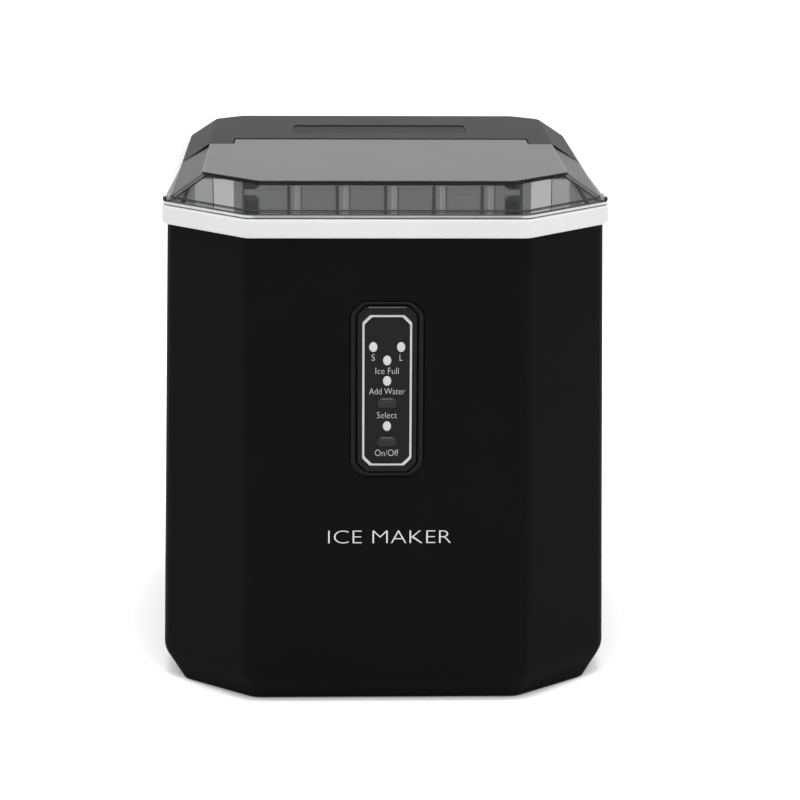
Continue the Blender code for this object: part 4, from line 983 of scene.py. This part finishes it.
def make_shields():
    """Splash shields on both sides of the ice works: a pane, its seam, a margin and a return; pane and margin
    glow with painted light of two strengths.
    """
    strips = (("panes", SHIELD_PAINTED_LIGHT, 0.1008, 0.1142, 0.0), ("seams", SHADE_GREY, 0.1143, 0.1148, 0.0002),
              ("margins", SHIELD_PAINTED_DIM_LIGHT, 0.1149, 0.1266, 0.0), ("returns", SWEEP_GREY, 0.0950, 0.1006, 0.0))
    for label, material, inner, outer, proud in strips:
        both = bmesh.new()
        for side in (-1, 1):
            ends = sorted((side * inner, side * outer))
            block((ends[0], SHIELD_FRONT - proud, SHIELD_LOW), (ends[1], SHIELD_BACK, SHIELD_HIGH), both)
        finish_piece("shield_" + label, both, material, "housing")


RIB_COUNT = 5
RIB_PITCH = 0.033
RIB_SHIFT = 0.0060               # the row of ribs stands right of the middle
BLADE_HALF = 0.084


def make_shovel():
    """Ice shovel: a blade on its barrel, and pairs of ribs with rounded fronts, painted as a shaded flank, a
    lit face and a highlight on the crest.
    """
    axis = Vector(joints["shovel_swing"]["pos_m"])
    low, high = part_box("ice_shovel")
    blade = block((-BLADE_HALF, axis.y - 0.0010, low.z), (BLADE_HALF, axis.y + 0.0010, high.z))
    shovel = finish_piece("shovel_blade", blade, SWEEP_GREY, "shovel", ("ice_shovel",))
    barrel = [(0.0020, low.x), (0.0020, -0.0860), (0.0034, -0.0860)]
    barrel += [(radius, -x) for radius, x in reversed(barrel)]
    carve(shovel, turned(barrel, (0.0, axis.y, axis.z), "X", 36), operation='UNION')
    round_edges(shovel, 0.0004, 2)
    back, front = axis.y - 0.0008, low.y + 0.0012
    # Strips of painted shade, painted light and painted highlight across each rib.
    strips = (("flanks", FLANK_PAINTED_SHADE, ((-0.0037, 0.0012), (0.0047, 0.0004))),
              ("ribs", RIB_PAINTED_LIGHT, ((-0.0009, 0.0015),)), ("crests", CREST_PAINTED_HIGHLIGHT, ((0.0025, 0.0017),)))
    for label, material, places in strips:
        ribs = bmesh.new()
        for k in range(RIB_COUNT):
            for shift, half in places:
                x = RIB_PITCH * (k - RIB_COUNT // 2) + RIB_SHIFT + shift
                nose = [(x + half, back), (x - half, back), (x - half, front)]
                turning = [math.pi * step / 8 for step in range(1, 8)]
                nose += [(x - half * math.cos(t), front - 0.0010 * math.sin(t)) for t in turning]
                nose.append((x + half, front))
                skin([at_height(nose, z) for z in (low.z + 0.002, high.z - 0.0004)], mesh=ribs)
        finish_piece("shovel_" + label, ribs, material, "shovel")


# ---------------------------------------------------------------- room, lights and camera
def make_floor():
    """A wide pale floor, almost white and quite dull."""
    recipe = Recipe("pale_floor", Specular_IOR_Level=0.0)
    cloud = recipe.span(recipe.noise(0.8, 3.0), 0.0, 1.0)
    tone = recipe.tint(cloud, (0.945, 0.945, 0.945), (0.955, 0.955, 0.955))
    recipe.link(tone, recipe.shader.inputs["Base Color"])
    recipe.link(recipe.span(recipe.noise(3.0), 0.85, 0.95), recipe.shader.inputs["Roughness"])
    mesh = bmesh.new()
    bmesh.ops.create_grid(mesh, x_segments=8, y_segments=8, size=20.0)
    data = bpy.data.meshes.new("floor")
    mesh.to_mesh(data)
    mesh.free()
    data.materials.append(recipe.material)
    floor = bpy.data.objects.new("floor", data)
    bpy.context.scene.collection.objects.link(floor)


SKY_FRONT = 0.75
SKY_BACK = 0.95
SKY_TOP = 1.9


def make_world():
    """An even studio dome, brighter overhead and behind than in front."""
    world = bpy.data.worlds.new("studio")
    bpy.context.scene.world = world
    world.use_nodes = True
    tree = world.node_tree
    sky = tree.nodes["Background"]
    place = tree.nodes.new("ShaderNodeTexCoord").outputs["Generated"]
    parts = tree.nodes.new("ShaderNodeSeparateXYZ")
    tree.links.new(place, parts.inputs[0])

    def mapped(value, from_low, from_high, low, high):
        node = tree.nodes.new("ShaderNodeMapRange")
        for socket, number in zip(node.inputs[1:5], (from_low, from_high, low, high)):
            socket.default_value = number
        tree.links.new(value, node.inputs[0])
        return node.outputs[0]

    depth = mapped(parts.outputs[1], -1.0, 1.0, SKY_FRONT, SKY_BACK)
    height = mapped(parts.outputs[2], 0.0, 0.9, 1.0, SKY_TOP)
    both = tree.nodes.new("ShaderNodeMath")
    both.operation = 'MULTIPLY'
    tree.links.new(depth, both.inputs[0])
    tree.links.new(height, both.inputs[1])
    tree.links.new(both.outputs[0], sky.inputs["Strength"])
    sky.inputs["Color"].default_value = (1.0, 1.0, 1.0, 1.0)


def soft_light(name, place, aim, size, power):
    """A rectangular lamp at a place, turned towards a point."""
    light = bpy.data.lights.new(name, 'AREA')
    light.shape = 'RECTANGLE'
    light.size, light.size_y = size
    light.energy = power
    made = bpy.data.objects.new(name, light)
    made.location = place
    made.rotation_euler = (Vector(aim) - Vector(place)).to_track_quat('-Z', 'Y').to_euler()
    bpy.context.scene.collection.objects.link(made)


def make_lights():
    """A soft box overhead and a narrow strip at each side."""
    middle = (0.0, 0.0, 0.18)
    soft_light("overhead", (0.0, -0.45, 2.3), middle, (0.8, 0.5), 18.0)
    soft_light("strip_left", (-2.0, -1.3, 1.0), middle, (0.30, 1.4), 1.6)
    soft_light("strip_right", (1.9, -1.1, 1.35), middle, (0.30, 0.7), 4.5)


CAMERA_PLACE = (-0.0398, -1.692, 0.6047)
CAMERA_LENS = 111.56             # millimetres, for a sensor 36 mm wide
CAMERA_HEADING = -0.0316         # radians, as are the next two
CAMERA_DIP = 0.2583
CAMERA_ROLL = 0.0065


def make_camera():
    """The camera in front of the machine, a little above it."""
    camera = bpy.data.cameras.new("camera")
    camera.lens = CAMERA_LENS
    camera.sensor_width = 36.0
    made = bpy.data.objects.new("camera", camera)
    made.location = CAMERA_PLACE
    turn = Matrix.Rotation(CAMERA_HEADING, 4, 'Z') @ Matrix.Rotation(math.pi / 2 - CAMERA_DIP, 4, 'X')
    made.rotation_euler = (turn @ Matrix.Rotation(CAMERA_ROLL, 4, 'Z')).to_euler()
    bpy.context.scene.collection.objects.link(made)
    bpy.context.scene.camera = made


make_housing()
make_rim()
make_lid()
make_rear_cover()
make_bezel()
make_lamps()
make_buttons()
make_lettering()
make_rear_panel()
make_feet()
make_drain_cap()
dress_inside()
make_shields()
make_shovel()
make_floor()
make_world()
make_lights()
make_camera()
bpy.context.scene.view_settings.view_transform = 'Standard'
